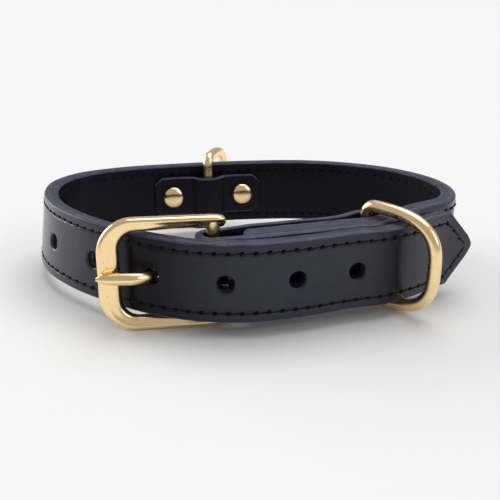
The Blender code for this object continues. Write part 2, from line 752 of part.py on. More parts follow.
def build_rivet(name, face, square, collar):
    """A domed head inside, a shank through the leather and a flat cap outside, turned in one."""
    grip = strap_thickness + 2 * CLEARANCE + TAB_PLY
    shank = RIVET_SHANK / 2
    cap = RIVET_CAP_DIAMETER / 2
    head = RIVET_DIAMETER / 2
    foot = -CLEARANCE
    seat = grip + CLEARANCE
    rim = RIVET_DOME * RIVET_RIM_SHARE
    profile = [(0.0, foot - RIVET_CAP), (cap * RIVET_CAP_FLAT_SHARE, foot - RIVET_CAP),
               (cap, foot - RIVET_CAP / 2), (cap, foot), (shank, foot), (shank, seat), (head, seat)]
    for i in range(RIVET_DOME_STEPS + 1):
        angle = math.pi / 2 * i / RIVET_DOME_STEPS
        radius = head * math.cos(angle) if i < RIVET_DOME_STEPS else 0.0
        profile.append((radius, seat + rim + (RIVET_DOME - rim) * math.sin(angle)))
    work = bmesh.new()
    verts = [work.verts.new((r, 0.0, z)) for r, z in profile]
    for a, b in zip(verts, verts[1:]):
        work.edges.new((a, b))
    mesh = bpy.data.meshes.new(name)
    work.to_mesh(mesh)
    work.free()
    rivet = add_object(name, mesh, collar, BRASS)
    turned = rivet.modifiers.new("turned", "SCREW")
    turned.steps = RIVET_STEPS
    turned.render_steps = RIVET_STEPS
    turned.use_merge_vertices = True
    turned.merge_threshold = MERGE
    turned.use_normal_calculate = True
    rivet.matrix_world = Matrix.Translation(face) @ square.to_track_quat("Z", "Y").to_matrix().to_4x4()
    return rivet


def settle(collar):
    """Moves the whole collar so that the origin is the centre of its box's bottom."""
    bpy.context.view_layer.update()
    graph = bpy.context.evaluated_depsgraph_get()
    corners = []
    for thing in collar.objects:
        if thing.type == "EMPTY":
            continue
        evaluated = thing.evaluated_get(graph)
        mesh = evaluated.to_mesh()
        corners += [evaluated.matrix_world @ vertex.co for vertex in mesh.vertices]
        evaluated.to_mesh_clear()
    low = np.min(corners, axis=0)
    high = np.max(corners, axis=0)
    shift = Vector(((low[0] + high[0]) / 2, (low[1] + high[1]) / 2, low[2]))
    for thing in bpy.data.objects:
        if thing.parent is None:
            thing.matrix_world = Matrix.Translation(-shift) @ thing.matrix_world


def main():
    clear_scene()
    collar = collection("dog_collar")
    cutters = collection("cutters")
    strap = strap_route()
    heel = heel_frame(strap)
    _, _, rivet_holes = build_strap(strap, heel, collar, cutters)
    frame, bar = build_buckle(heel, collar)
    join_heel_bar(frame, bar, cutters)
    build_prong(strap, heel, collar)
    build_ring("front_d_ring", *front_ring_place(strap), collar)
    build_ring("rear_d_ring", *rear_ring_place(strap), collar)
    build_tab(strap, collar, rivet_holes)
    for face, square, name in rivet_places(strap):
        build_rivet(name, face, square, collar)
    settle(collar)


main()
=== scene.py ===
"""Dog collar of black two-ply leather with a brass half buckle, dressed round its CAD solids.

The strap's route is the CAD source's, refined to rows a quarter of a stitch apart. Each ply is swept
along it with rounded edges, a stitch groove and punched holes. Lengths are metres, +Z is up and +Y
is to the back.
"""
import json
import math
from collections import namedtuple

import bmesh
import bpy
import numpy as np
from bpy.props import FloatProperty, FloatVectorProperty, IntProperty, PointerProperty
from mathutils import Matrix, Vector


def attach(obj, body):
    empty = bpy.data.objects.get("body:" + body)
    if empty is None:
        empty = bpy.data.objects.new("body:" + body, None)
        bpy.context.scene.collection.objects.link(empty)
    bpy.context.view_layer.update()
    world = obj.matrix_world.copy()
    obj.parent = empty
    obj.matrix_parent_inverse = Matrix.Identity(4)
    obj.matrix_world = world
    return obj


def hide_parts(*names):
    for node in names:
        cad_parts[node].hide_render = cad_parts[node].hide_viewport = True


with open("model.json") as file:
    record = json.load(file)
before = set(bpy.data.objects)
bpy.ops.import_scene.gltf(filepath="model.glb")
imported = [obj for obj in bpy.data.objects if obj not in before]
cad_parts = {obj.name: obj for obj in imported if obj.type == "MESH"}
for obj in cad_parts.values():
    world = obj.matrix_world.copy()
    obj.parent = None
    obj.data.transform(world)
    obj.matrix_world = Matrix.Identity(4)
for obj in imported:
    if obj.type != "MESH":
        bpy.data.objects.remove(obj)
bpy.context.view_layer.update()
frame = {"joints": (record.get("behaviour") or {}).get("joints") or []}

bl_info = {
    "name": "Leather dog collar",
    "version": (1, 0, 0),
    "blender": (4, 5, 0),
    "location": "View3D > Sidebar > Collar",
    "description": "Makes a buckled two-ply leather collar with brass fittings, piece by piece",
    "category": "Add Mesh",
}

MM = 0.001

# The CAD source's sizes that the dressed pieces repeat
LOOP_WIDTH = 151.6 * MM
LOOP_DEPTH = 104.6 * MM
STRAP_WIDTH = 25.0 * MM
OUTER_PLY = 2.5 * MM
LINING_PLY = 2.2 * MM
STACK_LINING = 6.0 * MM
PLY_GAP = 0.2 * MM
ROUTE_STEP = 4.0 * MM
CLEARANCE = 0.3 * MM
HOLE_PITCH = 22.9 * MM
PRONG_HOLE_PAST_HEEL = 18.323 * MM
HOLES_FROM_PRONG = (-2.87, -2.0, -1.04, 0.0, 1.08, 2.12)
PRONG_HOLE = 3
HEEL_FROM_TIP = 96.0 * MM
HEEL_BAR_DIAMETER = 4.2 * MM
FOLD_SLACK = 1.1 * MM
FOLD_SEGMENTS = 12
LINING_FROM_HEEL = 11.0 * MM
RETURN_LENGTH = 73.5 * MM
BUCKLE_REACH = 31.8 * MM
BUCKLE_HEIGHT = 35.0 * MM
BUCKLE_ARM = 4.1 * MM
BUCKLE_FRONT_BAR = 6.5 * MM
BUCKLE_THICKNESS = 4.4 * MM
BUCKLE_OUTER_RADIUS = 11.0 * MM
BUCKLE_INNER_RADIUS = 5.6 * MM
BUCKLE_EAR = 3.9 * MM
BUCKLE_SWING = 15.6
BUCKLE_LEAN = 5.0
PRONG_DIAMETER = 3.6 * MM
PRONG_LOOP_WIRE = 2.2 * MM
PRONG_LOOP_TURN = 255.0
PRONG_LOOP_POINTS = 14
RING_WIRE = 4.1 * MM
RING_INNER_HEIGHT = 27.2 * MM
RING_INNER_DEPTH = 22.0 * MM
RING_PLAY = 0.45 * MM
RING_CORNER = 3.2 * MM
RING_BOW_POWER = 3.1
FRONT_RING_FROM_HEEL = 59.0 * MM
FRONT_RING_SWING = 6.0
REAR_RING_SWING = 23.0
TAB_LENGTH = 44.5 * MM
TAB_WIDTH = 16.0 * MM
TAB_PLY = 2.0 * MM
TAB_FROM_TIP = 268.0 * MM
TAB_CORNER = 3.0 * MM
RIVET_SPREAD = 29.2 * MM
RIVET_DIAMETER = 8.8 * MM
RIVET_DOME = 2.3 * MM
RIVET_SHANK = 3.0 * MM
RIVET_CAP_DIAMETER = 8.0 * MM
RIVET_CAP = 1.1 * MM

# The strap's outer face in the CAD source: across as a share of half the loop's width, deep as a
# share of its depth, lean in degrees, height as a share of the strap's width
ROUTE = (
    (1.005, 0.331, 0.0, 0.14), (0.888, 0.281, 0.0, 1.0), (0.686, 0.169, 0.0, 1.0),
    (0.580, 0.124, 0.0, 1.0), (0.455, 0.098, 0.0, 1.0), (0.244, 0.041, 0.0, 1.0),
    (0.007, 0.001, 0.0, 1.0), (-0.178, 0.008, 0.0, 1.0), (-0.363, 0.056, 2.5, 1.0),
    (-0.607, 0.170, 5.0, 1.0), (-0.746, 0.257, 7.0, 1.0), (-0.902, 0.395, 8.0, 1.0),
    (-0.987, 0.553, 8.0, 1.0), (-0.990, 0.677, 7.5, 1.0), (-0.904, 0.795, 6.0, 1.0),
    (-0.706, 0.879, 3.0, 1.0), (-0.376, 0.942, 0.5, 1.0), (0.020, 0.991, 0.0, 1.0),
    (0.284, 1.000, 0.0, 1.0), (0.574, 0.953, 0.0, 1.0), (0.819, 0.845, 0.0, 1.0),
    (0.962, 0.700, 0.0, 1.0), (0.998, 0.562, 0.0, 1.0), (0.960, 0.447, 0.0, 1.0),
)
RIGHT_END_STACK = 0.25

# The buckle end behind the free end: share of the way to the heel bar, gap, and share of the stack
NEST = (
    (0.17, 4.3 * MM, 0.35), (0.28, 2.2 * MM, 0.6), (0.38, 0.9 * MM, 0.9), (0.52, 0.8 * MM, 1.0),
    (0.70, 1.6 * MM, 1.0), (0.90, 0.7 * MM, 1.0), (1.0, 0.6 * MM, 1.0),
)
# The outer ply's return: share of the way from the heel bar to the front ring, and gap
RETURN = ((0.26, 2.0 * MM), (0.50, 1.7 * MM), (0.80, 2.6 * MM))
RING_POCKET = 3.0 * MM
RETURN_END_GAP = 0.6 * MM
# The tab's line over the rear ring's bar: share of half its length, and rise in bar wires
TAB_LINE = (
    (-1.0, 0.0), (-0.80, 0.0), (-0.60, 0.0), (-0.42, 0.0), (-0.27, 0.18), (-0.13, 0.88), (0.0, 1.10),
    (0.13, 0.88), (0.27, 0.18), (0.42, 0.0), (0.60, 0.0), (0.80, 0.0), (1.0, 0.0),
)
# The prong after its loop: anchor, along and rise from it in prong diameters, and width
PRONG_LEAD = 0.38
PRONG_BENDS = (
    ("way", 0.0, -0.20, 0.0), ("lining", -1.05, -0.18, 0.0), ("lining", -0.16, 0.08, 0.0),
    ("hole", 0.0, 0.0, 0.0), ("face", 0.20, 0.15, 0.85), ("face", 1.30, 0.62, 1.0),
    ("bar", -1.35, 0.14, 1.0), ("bar", 0.0, 0.0, 0.9), ("bar", 0.60, -0.06, 0.62),
    ("bar", 1.0, -0.12, 0.28),
)

# Sizes that only the dressed pieces have, or have otherwise than the CAD source: the fold is wider
# here, so that it covers more of the heel bar
FOLD_WIDTH = 23.5 * MM
FOLD_PLAIN_BEFORE = 8.0 * MM
FOLD_PLAIN_AFTER = 4.0 * MM
FOLD_UNSEWN_AFTER = 6.0 * MM
LINING_HOLE_SNUG = 0.66
LINING_SEAM_START = 24
TAPER_END = 10.3 * MM
NOSE_ROUND = 2.2 * MM
REST_ROWS = 4
COLUMNS = (0.0, 1.25, 2.5, 3.4, 4.3, 5.3, 6.4, 7.5, 8.5, 8.95, 9.5, 10.05, 10.5, 11.2, 11.8)
HOLE_COLUMN = 4
HOLE_ROWS = 4
SLOT_COLUMN = 3
HOLE_RINGS = ((3.8, 0.0), (3.35, 0.02), (3.0, 0.11), (2.75, 0.36), (2.62, 0.9))
CAMERA_AT = Vector((2.11, -246.32, 98.86)) * MM
CAMERA_TO = Vector((2.11, -31.76, 17.62)) * MM

PlyEdge = namedtuple("PlyEdge", "out deep")


class CollarSizes(bpy.types.PropertyGroup):
    """Sizes of the sewn and rounded details."""
    stitch_pitch: FloatProperty(
        name="Stitch pitch", description="Distance from one stitch hole to the next",
        default=4.08 * MM, min=1.0 * MM, unit="LENGTH")
    thread: FloatProperty(
        name="Thread", description="Diameter of the waxed thread", default=0.52 * MM, unit="LENGTH")
    stitch_inset: FloatProperty(
        name="Stitch inset", description="Distance of the stitch line from the strap's edge",
        default=3.0 * MM, unit="LENGTH")
    groove: FloatProperty(
        name="Groove", description="Depth of the groove that the stitches lie in",
        default=0.16 * MM, unit="LENGTH")
    pit: FloatProperty(
        name="Pit", description="Depth that the thread pulls the grain in at each stitch hole",
        default=0.30 * MM, unit="LENGTH")
    wire_sides: IntProperty(
        name="Wire sides", description="Faces round the rings' wire", default=24, min=6)


class CollarColours(bpy.types.PropertyGroup):
    """Colours of the leather, the thread, the brass and the stage."""
    grain: FloatVectorProperty(
        name="Grain", description="The strap's outer face", subtype="COLOR", size=3,
        default=(0.0085, 0.009, 0.022))
    lining: FloatVectorProperty(
        name="Lining", description="The strap's inner face", subtype="COLOR", size=3,
        default=(0.0022, 0.0022, 0.0065))
    edge: FloatVectorProperty(
        name="Edge", description="The burnished edges", subtype="COLOR", size=3,
        default=(0.070, 0.071, 0.110))
    thread: FloatVectorProperty(
        name="Thread", description="The stitching thread", subtype="COLOR", size=3,
        default=(0.004, 0.004, 0.006))
    brass: FloatVectorProperty(
        name="Brass", description="Polished brass", subtype="COLOR", size=3,
        default=(1.0, 0.76, 0.41))
    tarnish: FloatVectorProperty(
        name="Tarnish", description="Brass where it is less polished", subtype="COLOR", size=3,
        default=(0.74, 0.47, 0.18))
    floor: FloatVectorProperty(
        name="Floor", description="The pale floor", subtype="COLOR", size=3,
        default=(0.86, 0.86, 0.86))


# Routes seen from above, as in the CAD source
class Route:
    """A smooth line through points in plan, with columns that are carried along it."""

    def __init__(self, points, columns=None, step=ROUTE_STEP, resample=True):
        points = np.array(points, float)
        columns = {} if columns is None else {k: np.array(v, float) for k, v in columns.items()}
        if resample:
            points, columns = self.smooth(points, columns, step)
        self.points = points
        self.columns = columns
        steps = np.linalg.norm(np.diff(points, axis=0), axis=1)
        self.along = np.concatenate([[0.0], np.cumsum(steps)])
        self.length = self.along[-1]
        ahead = np.gradient(points, self.along, axis=0)
        self.ahead = ahead / np.linalg.norm(ahead, axis=1)[:, None]
        self.inward = np.column_stack([self.ahead[:, 1], -self.ahead[:, 0]])

    @staticmethod
    def smooth(points, columns, step):
        """Cubic pieces through the points, each with its tangent from its two neighbours."""
        chord = np.linalg.norm(np.diff(points, axis=0), axis=1)
        knots = np.concatenate([[0.0], np.cumsum(chord)])
        tangents = np.gradient(points, knots, axis=0)
        line, carried = [points[0]], {k: [v[0]] for k, v in columns.items()}
        for i, span in enumerate(chord):
            count = max(1, math.ceil(span / step))
            for j in range(1, count + 1):
                t = j / count
                h = (2 * t**3 - 3 * t**2 + 1, t**3 - 2 * t**2 + t, 3 * t**2 - 2 * t**3, t**3 - t**2)
                line.append(h[0] * points[i] + h[1] * span * tangents[i]
                            + h[2] * points[i + 1] + h[3] * span * tangents[i + 1])
                for k, v in columns.items():
                    carried[k].append(v[i] + (v[i + 1] - v[i]) * t)
        return np.array(line), {k: np.array(v) for k, v in carried.items()}

    def at(self, s):
        """The point, its direction and its inward direction at a distance along the route."""
        point = np.array([np.interp(s, self.along, self.points[:, k]) for k in (0, 1)])
        ahead = np.array([np.interp(s, self.along, self.ahead[:, k]) for k in (0, 1)])
        ahead /= np.linalg.norm(ahead)
        return point, ahead, np.array([ahead[1], -ahead[0]])

    def column(self, name, s):
        return float(np.interp(s, self.along, self.columns[name]))

    def place(self, s, up, deep):
        """Points on the strap: up its face from mid height and inwards from the outer face."""
        s, up, deep = np.broadcast_arrays(np.asarray(s, float), up, deep)
        x, y = (np.interp(s, self.along, self.points[:, k]) for k in (0, 1))
        nx, ny = (np.interp(s, self.along, self.inward[:, k]) for k in (0, 1))
        size = np.hypot(nx, ny)
        lean = np.interp(s, self.along, self.columns["lean"])
        shift = up * np.sin(lean) + deep * np.cos(lean)
        rise = up * np.cos(lean) - deep * np.sin(lean)
        return np.stack([x + nx / size * shift, y + ny / size * shift, self.middle + rise], axis=-1)


def lining_thickness(stack):
    return LINING_PLY + (STACK_LINING - LINING_PLY) * stack


class Collar:
    """The CAD source's routes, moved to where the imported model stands."""

    def __init__(self):
        points = [(a * LOOP_WIDTH / 2, (d - 0.5) * LOOP_DEPTH) for a, d, _, _ in ROUTE]
        columns = {"lean": [math.radians(p[2]) for p in ROUTE], "height": [p[3] for p in ROUTE],
                   "stack": [0.0] * len(ROUTE)}
        thickness = OUTER_PLY + PLY_GAP + LINING_PLY
        loop = Route(points, columns)
        for share, gap, stack in NEST:
            point, _, inward = loop.at(share * HEEL_FROM_TIP)
            points.append(tuple(point + inward * (thickness + gap)))
            columns["lean"].append(0.0)
            columns["height"].append(1.0)
            columns["stack"].append(stack)
        columns["stack"][len(ROUTE) - 1] = RIGHT_END_STACK
        columns["height"][-1] = FOLD_WIDTH / STRAP_WIDTH
        strap = Route(points, columns)
        fold = HEEL_BAR_DIAMETER / 2 + FOLD_SLACK + OUTER_PLY
        point, ahead, inward = strap.at(HEEL_FROM_TIP)
        heel = point + inward * (thickness + NEST[-1][1] + fold)
        tail = self.return_route(strap, heel, ahead, inward, fold)

        ring = strap.length - FRONT_RING_FROM_HEEL
        place, _, ring_in = strap.at(ring)
        room = OUTER_PLY + PLY_GAP + lining_thickness(strap.column("stack", ring))
        place = place + ring_in * (room + RING_PLAY + RING_WIRE / 2)
        packed = next(j for j in frame["joints"] if j["name"] == "front_ring_swing")["pos_m"]
        self.shift = np.array(packed[:2]) - place
        self.middle = packed[2]
        front_heading = math.atan2(-ring_in[1], -ring_in[0]) + math.radians(FRONT_RING_SWING)
        self.front_ring = (packed[:2], front_heading)
        packed = next(j for j in frame["joints"] if j["name"] == "rear_ring_swing")["pos_m"]
        _, _, rear_in = strap.at(TAB_FROM_TIP)
        rear_heading = math.atan2(-rear_in[1], -rear_in[0]) - math.radians(REAR_RING_SWING)
        self.rear_ring = (packed[:2], rear_heading)

        strap.points = strap.points + self.shift
        strap.middle = self.middle
        self.cad = strap
        self.heel = heel + self.shift
        self.heel_ahead = ahead
        self.strap = self.finer(strap.points, strap.columns)
        rows = len(tail.points) - 1
        columns = {"height": np.concatenate([strap.columns["height"], tail.columns["height"][1:]]),
                   "lean": np.concatenate([strap.columns["lean"], np.zeros(rows)]),
                   "stack": np.concatenate([strap.columns["stack"], np.zeros(rows)])}
        self.whole = self.finer(np.vstack([strap.points, tail.points[1:] + self.shift]), columns)
        self.fold_length = math.pi * fold

    def finer(self, points, columns):
        route = Route(points, columns, step=0.5 * MM)
        route.middle = self.middle
        return route

    @staticmethod
    def return_route(strap, heel, ahead, inward, fold):
        """The outer ply's fold round the heel bar and its return inside."""
        points = []
        for i in range(FOLD_SEGMENTS + 1):
            turn = math.pi * i / FOLD_SEGMENTS
            points.append(heel - inward * math.cos(turn) * fold + ahead * math.sin(turn) * fold)
        count = len(points)
        heights = [FOLD_WIDTH / STRAP_WIDTH] * count
        pocket = RING_WIRE + 2 * RING_PLAY
        plan = [(share * FRONT_RING_FROM_HEEL, gap) for share, gap in RETURN]
        plan.append((FRONT_RING_FROM_HEEL - RING_POCKET, pocket))
        plan.append((FRONT_RING_FROM_HEEL + RING_POCKET, pocket))
        halfway = (FRONT_RING_FROM_HEEL + RING_POCKET + RETURN_LENGTH) / 2
        plan.append((halfway, (pocket + RETURN_END_GAP) / 2))
        plan.append((RETURN_LENGTH, RETURN_END_GAP))
        for distance, gap in plan:
            s = strap.length - distance
            point, _, inside = strap.at(s)
            room = OUTER_PLY + PLY_GAP + lining_thickness(strap.column("stack", s)) + gap + OUTER_PLY
            points.append(point + inside * room)
            heights.append(1.0)
        tail = Route(points[count - 1:], {"height": heights[count - 1:]})
        line = np.vstack([points[:count - 1], tail.points])
        height = np.concatenate([heights[:count - 1], tail.columns["height"]])
        return Route(line, {"height": height}, resample=False)

    def hole_distances(self):
        return [HEEL_FROM_TIP + PRONG_HOLE_PAST_HEEL + n * HOLE_PITCH for n in HOLES_FROM_PRONG]

    def hole_centres(self):
        """Distances along the finer route of the places that the CAD source punches."""
        found = []
        for s in self.hole_distances():
            point = self.cad_point(s)
            found.append(self.nearest(point))
        return found

    def cad_point(self, s):
        return np.array([np.interp(s, self.cad.along, self.cad.points[:, k]) for k in (0, 1)])

    def nearest(self, point):
        """The distance along the finer route of its point nearest to a plan point on the strap."""
        gap = np.linalg.norm(self.whole.points - point, axis=1)
        gap[self.whole.along > self.strap.length] = 1.0
        return float(self.whole.along[int(np.argmin(gap))])


# Meshes
def mesh_object(name, mesh, look, body="collar", nodes=()):
    """Links a finished mesh as a piece that rides on a body and stands for CAD nodes."""
    made = bpy.data.objects.new(name, mesh)
    bpy.context.scene.collection.objects.link(made)
    mesh.materials.clear()
    mesh.materials.append(look)
    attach(made, body)
    if nodes:
        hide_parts(*nodes)
    return made


def write_layers(mesh, along, across, edge, wear, dull):
    """A UV map in metres along and across the leather, and its edge, wear and painted shade attributes."""
    corners = np.empty(len(mesh.loops), int)
    mesh.loops.foreach_get("vertex_index", corners)
    layer = mesh.uv_layers.new(name="along_across")
    pairs = np.column_stack([np.asarray(along)[corners], np.asarray(across)[corners]])
    layer.data.foreach_set("uv", pairs.astype(np.float32).ravel())
    for name, values in (("edge", edge), ("wear", wear), ("dull", dull)):
        attribute = mesh.attributes.new(name, "FLOAT", "POINT")
        attribute.data.foreach_set("value", np.asarray(values, np.float32))


class Ply:
    """One ply of leather swept along a route as a closed skin, with openings through it."""

    def __init__(self, route, rows, half, front, back, groove, edges, columns=COLUMNS):
        self.route = route
        self.rows = rows
        self.half = half
        self.front = front
        self.back = back
        face = [-c for c in reversed(columns[1:])] + list(columns)
        self.face_count = len(face)
        full = columns[-1] + 0.7
        ups, deeps, tags, pulls = [], [], [], []
        for c in face:
            ups.append(c / full)
            deeps.append((0.0, 0.0))
            tags.append(0.0)
            pulls.append(groove.get(abs(c), 0.0))
        for edge in edges:
            ups.append((full + edge.out) / full)
            deeps.append(edge.deep)
            tags.append(1.0)
            pulls.append(0.0)
        for c in reversed(face):
            ups.append(c / full)
            deeps.append((1.0, 0.0))
            tags.append(0.0)
            pulls.append(0.0)
        for edge in reversed(edges):
            ups.append(-(full + edge.out) / full)
            deeps.append(edge.deep)
            tags.append(1.0)
            pulls.append(0.0)
        self.ups = np.array(ups)
        self.deeps = np.array(deeps)
        self.tags = np.array(tags)
        self.pulls = np.array(pulls)
        self.back_start = self.face_count + len(edges)
        self.verts, self.along, self.across, self.edge = [], [], [], []
        self.faces = []
        self.removed = {}

    def depth(self, i, share, extra):
        return self.front[i] + (self.back[i] - self.front[i]) * share + extra

    def skin(self, pit_rows, pit, ridge):
        """The rows of the skin, with pits in the groove at the stitch holes."""
        count = len(self.ups)
        for i, s in enumerate(self.rows):
            up = self.ups * self.half[i]
            deep = self.front[i] + (self.back[i] - self.front[i]) * self.deeps[:, 0] + self.deeps[:, 1]
            deep = deep + self.pulls * (ridge[i] + pit * pit_rows[i])
            place = self.route.place(np.full(count, s), up, deep)
            step = np.linalg.norm(np.diff(place, axis=0), axis=1)
            self.verts.extend(place)
            self.along.extend([s] * count)
            self.across.extend(np.concatenate([[0.0], np.cumsum(step)]))
            self.edge.extend(self.tags)
        self.count = count

    def index(self, i, c):
        return i * self.count + c % self.count

    def back_column(self, c):
        return self.back_start + self.face_count - 1 - c

    def opening(self, i0, i1, c0, c1, centre=None, rings=()):
        """Removes a block of the face and its back, and joins the two through the ply."""
        for i in range(i0, i1):
            for c in range(c0, c1):
                self.removed[(i, c)] = True
                self.removed[(i, self.back_column(c + 1))] = True
        border = [(i0, c) for c in range(c0, c1)] + [(i, c1) for i in range(i0, i1)]
        border += [(i1, c) for c in range(c1, c0, -1)] + [(i, c0) for i in range(i1, i0, -1)]
        loops = [[self.index(i, c) for i, c in border]]
        for radius, share, extra in rings:
            loop = []
            for i, c in border:
                angle = math.atan2(self.ups[c] * self.half[i], self.rows[i] - centre)
                s = centre + radius * math.cos(angle)
                up = radius * math.sin(angle)
                row = int(np.clip(np.searchsorted(self.rows, s), 1, len(self.rows) - 1))
                deep = self.depth(row, share, extra)
                loop.append(len(self.verts))
                self.verts.append(self.route.place(s, up, deep))
                self.along.append(s)
                self.across.append(self.across[self.index(i, c)] + share * 2 * MM)
                self.edge.append(0.0 if extra < 0.3 * MM and share == 0.0 else 0.3)
            loops.append(loop)
        loops.append([self.index(i, self.back_column(c)) for i, c in border])
        for a, b in zip(loops, loops[1:]):
            for k in range(len(border)):
                n = (k + 1) % len(border)
                self.faces.append((a[k], a[n], b[n], b[k]))

    def build(self, name, wear, dull):
        last = len(self.rows) - 1
        for i in range(last):
            for c in range(self.count):
                if (i, c) not in self.removed:
                    self.faces.append((self.index(i, c), self.index(i, c + 1),
                                       self.index(i + 1, c + 1), self.index(i + 1, c)))
        for i in (0, last):
            middle = self.back_start
            for c in range(self.face_count - 1):
                quad = (self.index(i, c), self.index(i, c + 1),
                        self.index(i, self.back_column(c + 1)), self.index(i, self.back_column(c)))
                self.faces.append(quad)
            top = [self.index(i, c) for c in range(self.face_count - 1, middle + 1)]
            bottom = [self.index(i, c) for c in range(self.back_column(0), self.count)] + [self.index(i, 0)]
            self.faces.append(tuple(top))
            self.faces.append(tuple(bottom))
        mesh = bpy.data.meshes.new(name)
        mesh.from_pydata([tuple(v) for v in self.verts], [], self.faces)
        mesh.validate()
        write_layers(mesh, self.along, self.across, self.edge, wear, dull)
        work = bmesh.new()
        work.from_mesh(mesh)
        bmesh.ops.recalc_face_normals(work, faces=work.faces)
        work.to_mesh(mesh)
        work.free()
        mesh.shade_smooth()
        mesh.set_sharp_from_angle(angle=math.radians(50.0))
        return mesh


def sweep(centres, sides, ups, section, closed=False):
    """A tube through centres: section gives each ring's points along its side and up vectors."""
    verts, faces = [], []
    count = len(section[0])
    for centre, side, up, ring in zip(centres, sides, ups, section):
        for a, b in ring:
            verts.append(tuple(np.array(centre) + np.array(side) * a + np.array(up) * b))
    rings = len(centres)
    for i in range(rings if closed else rings - 1):
        j = (i + 1) % rings
        for c in range(count):
            n = (c + 1) % count
            faces.append((i * count + c, i * count + n, j * count + n, j * count + c))
    if not closed:
        faces.append(tuple(range(count)))
        faces.append(tuple((rings - 1) * count + c for c in range(count)))
    return verts, faces


def solid_mesh(name, verts, faces, sharp=40.0):
    """A closed mesh with its doubles merged and its faces pointing outwards."""
    mesh = bpy.data.meshes.new(name)
    mesh.from_pydata(verts, [], faces)
    work = bmesh.new()
    work.from_mesh(mesh)
    bmesh.ops.remove_doubles(work, verts=work.verts, dist=0.002 * MM)
    bmesh.ops.recalc_face_normals(work, faces=work.faces)
    work.to_mesh(mesh)
    work.free()
    mesh.shade_smooth()
    mesh.set_sharp_from_angle(angle=math.radians(sharp))
    return mesh


# Shader maths
class Amount:
    """A number in a material, on which plain arithmetic adds Math nodes."""

    def __init__(self, finish, socket):
        self.finish = finish
        self.socket = socket

    def maths(self, operation, *operands, clamp=False):
        node = self.finish.node("ShaderNodeMath", {"operation": operation, "use_clamp": clamp},
                                dict(enumerate(operands)))
        return Amount(self.finish, node.outputs[0])

    def __add__(self, other):
        return self.maths("ADD", self, other)

    __radd__ = __add__

    def __sub__(self, other):
        return self.maths("SUBTRACT", self, other)

    def __rsub__(self, other):
        return self.maths("SUBTRACT", other, self)

    def __mul__(self, other):
        return self.maths("MULTIPLY", self, other)

    __rmul__ = __mul__

    def clamped(self):
        return self.maths("ADD", self, 0.0, clamp=True)

    def ramp(self, low, high):
        """0 at low, 1 at high, and smooth between them."""
        node = self.finish.node("ShaderNodeMapRange", {"interpolation_type": "SMOOTHSTEP"},
                                {0: self, 1: low, 2: high, 3: 0.0, 4: 1.0})
        return Amount(self.finish, node.outputs[0])


class Finish:
    """A material whose nodes are all made by one method."""

    def __init__(self, name):
        self.material = bpy.data.materials.new(name)
        self.material.use_nodes = True
        self.tree = self.material.node_tree
        self.shader = self.tree.nodes["Principled BSDF"]

    def node(self, kind, settings=None, sockets=None):
        made = self.tree.nodes.new(kind)
        for key, value in (settings or {}).items():
            setattr(made, key, value)
        for key, value in (sockets or {}).items():
            self.feed(made.inputs[key], value)
        return made

    def feed(self, socket, value):
        if isinstance(value, Amount):
            self.tree.links.new(value.socket, socket)
        elif isinstance(value, bpy.types.NodeSocket):
            self.tree.links.new(value, socket)
        else:
            socket.default_value = value

    def set(self, **sockets):
        for key, value in sockets.items():
            self.feed(self.shader.inputs[key.replace("_", " ")], value)

    def object_place(self):
        return self.node("ShaderNodeTexCoord").outputs["Object"]

    def leather_place(self, along=1.0, across=1.0):
        """The leather's own map in metres, stretched."""
        source = self.node("ShaderNodeUVMap", {"uv_map": "along_across"}).outputs[0]
        scale = self.node("ShaderNodeVectorMath", {"operation": "MULTIPLY"},
                          {0: source, 1: (along, across, 1.0)})
        return scale.outputs[0]

    def attribute(self, name):
        node = self.node("ShaderNodeAttribute", {"attribute_name": name})
        return Amount(self, node.outputs["Fac"])

    def noise(self, place, scale, detail=3.0, roughness=0.55):
        node = self.node("ShaderNodeTexNoise", None,
                         {"Vector": place, "Scale": scale, "Detail": detail, "Roughness": roughness})
        return Amount(self, node.outputs[0])

    def cells(self, place, scale, feature="F1"):
        node = self.node("ShaderNodeTexVoronoi", {"feature": feature}, {"Vector": place, "Scale": scale})
        return Amount(self, node.outputs["Distance"])

    def blend(self, factor, first, second):
        """A colour between two, each a plain colour or a link."""
        pair = [(*c, 1.0) if isinstance(c, tuple) else c for c in (first, second)]
        node = self.node("ShaderNodeMix", {"data_type": "RGBA"}, {0: factor, 6: pair[0], 7: pair[1]})
        return node.outputs[2]

    def bump(self, height, distance, strength=1.0, under=None):
        sockets = {"Height": height, "Distance": distance, "Strength": strength}
        if under is not None:
            sockets["Normal"] = under
        return self.node("ShaderNodeBump", None, sockets).outputs[0]


def scaled(colour, factor):
    return tuple(min(1.0, c * factor) for c in colour)


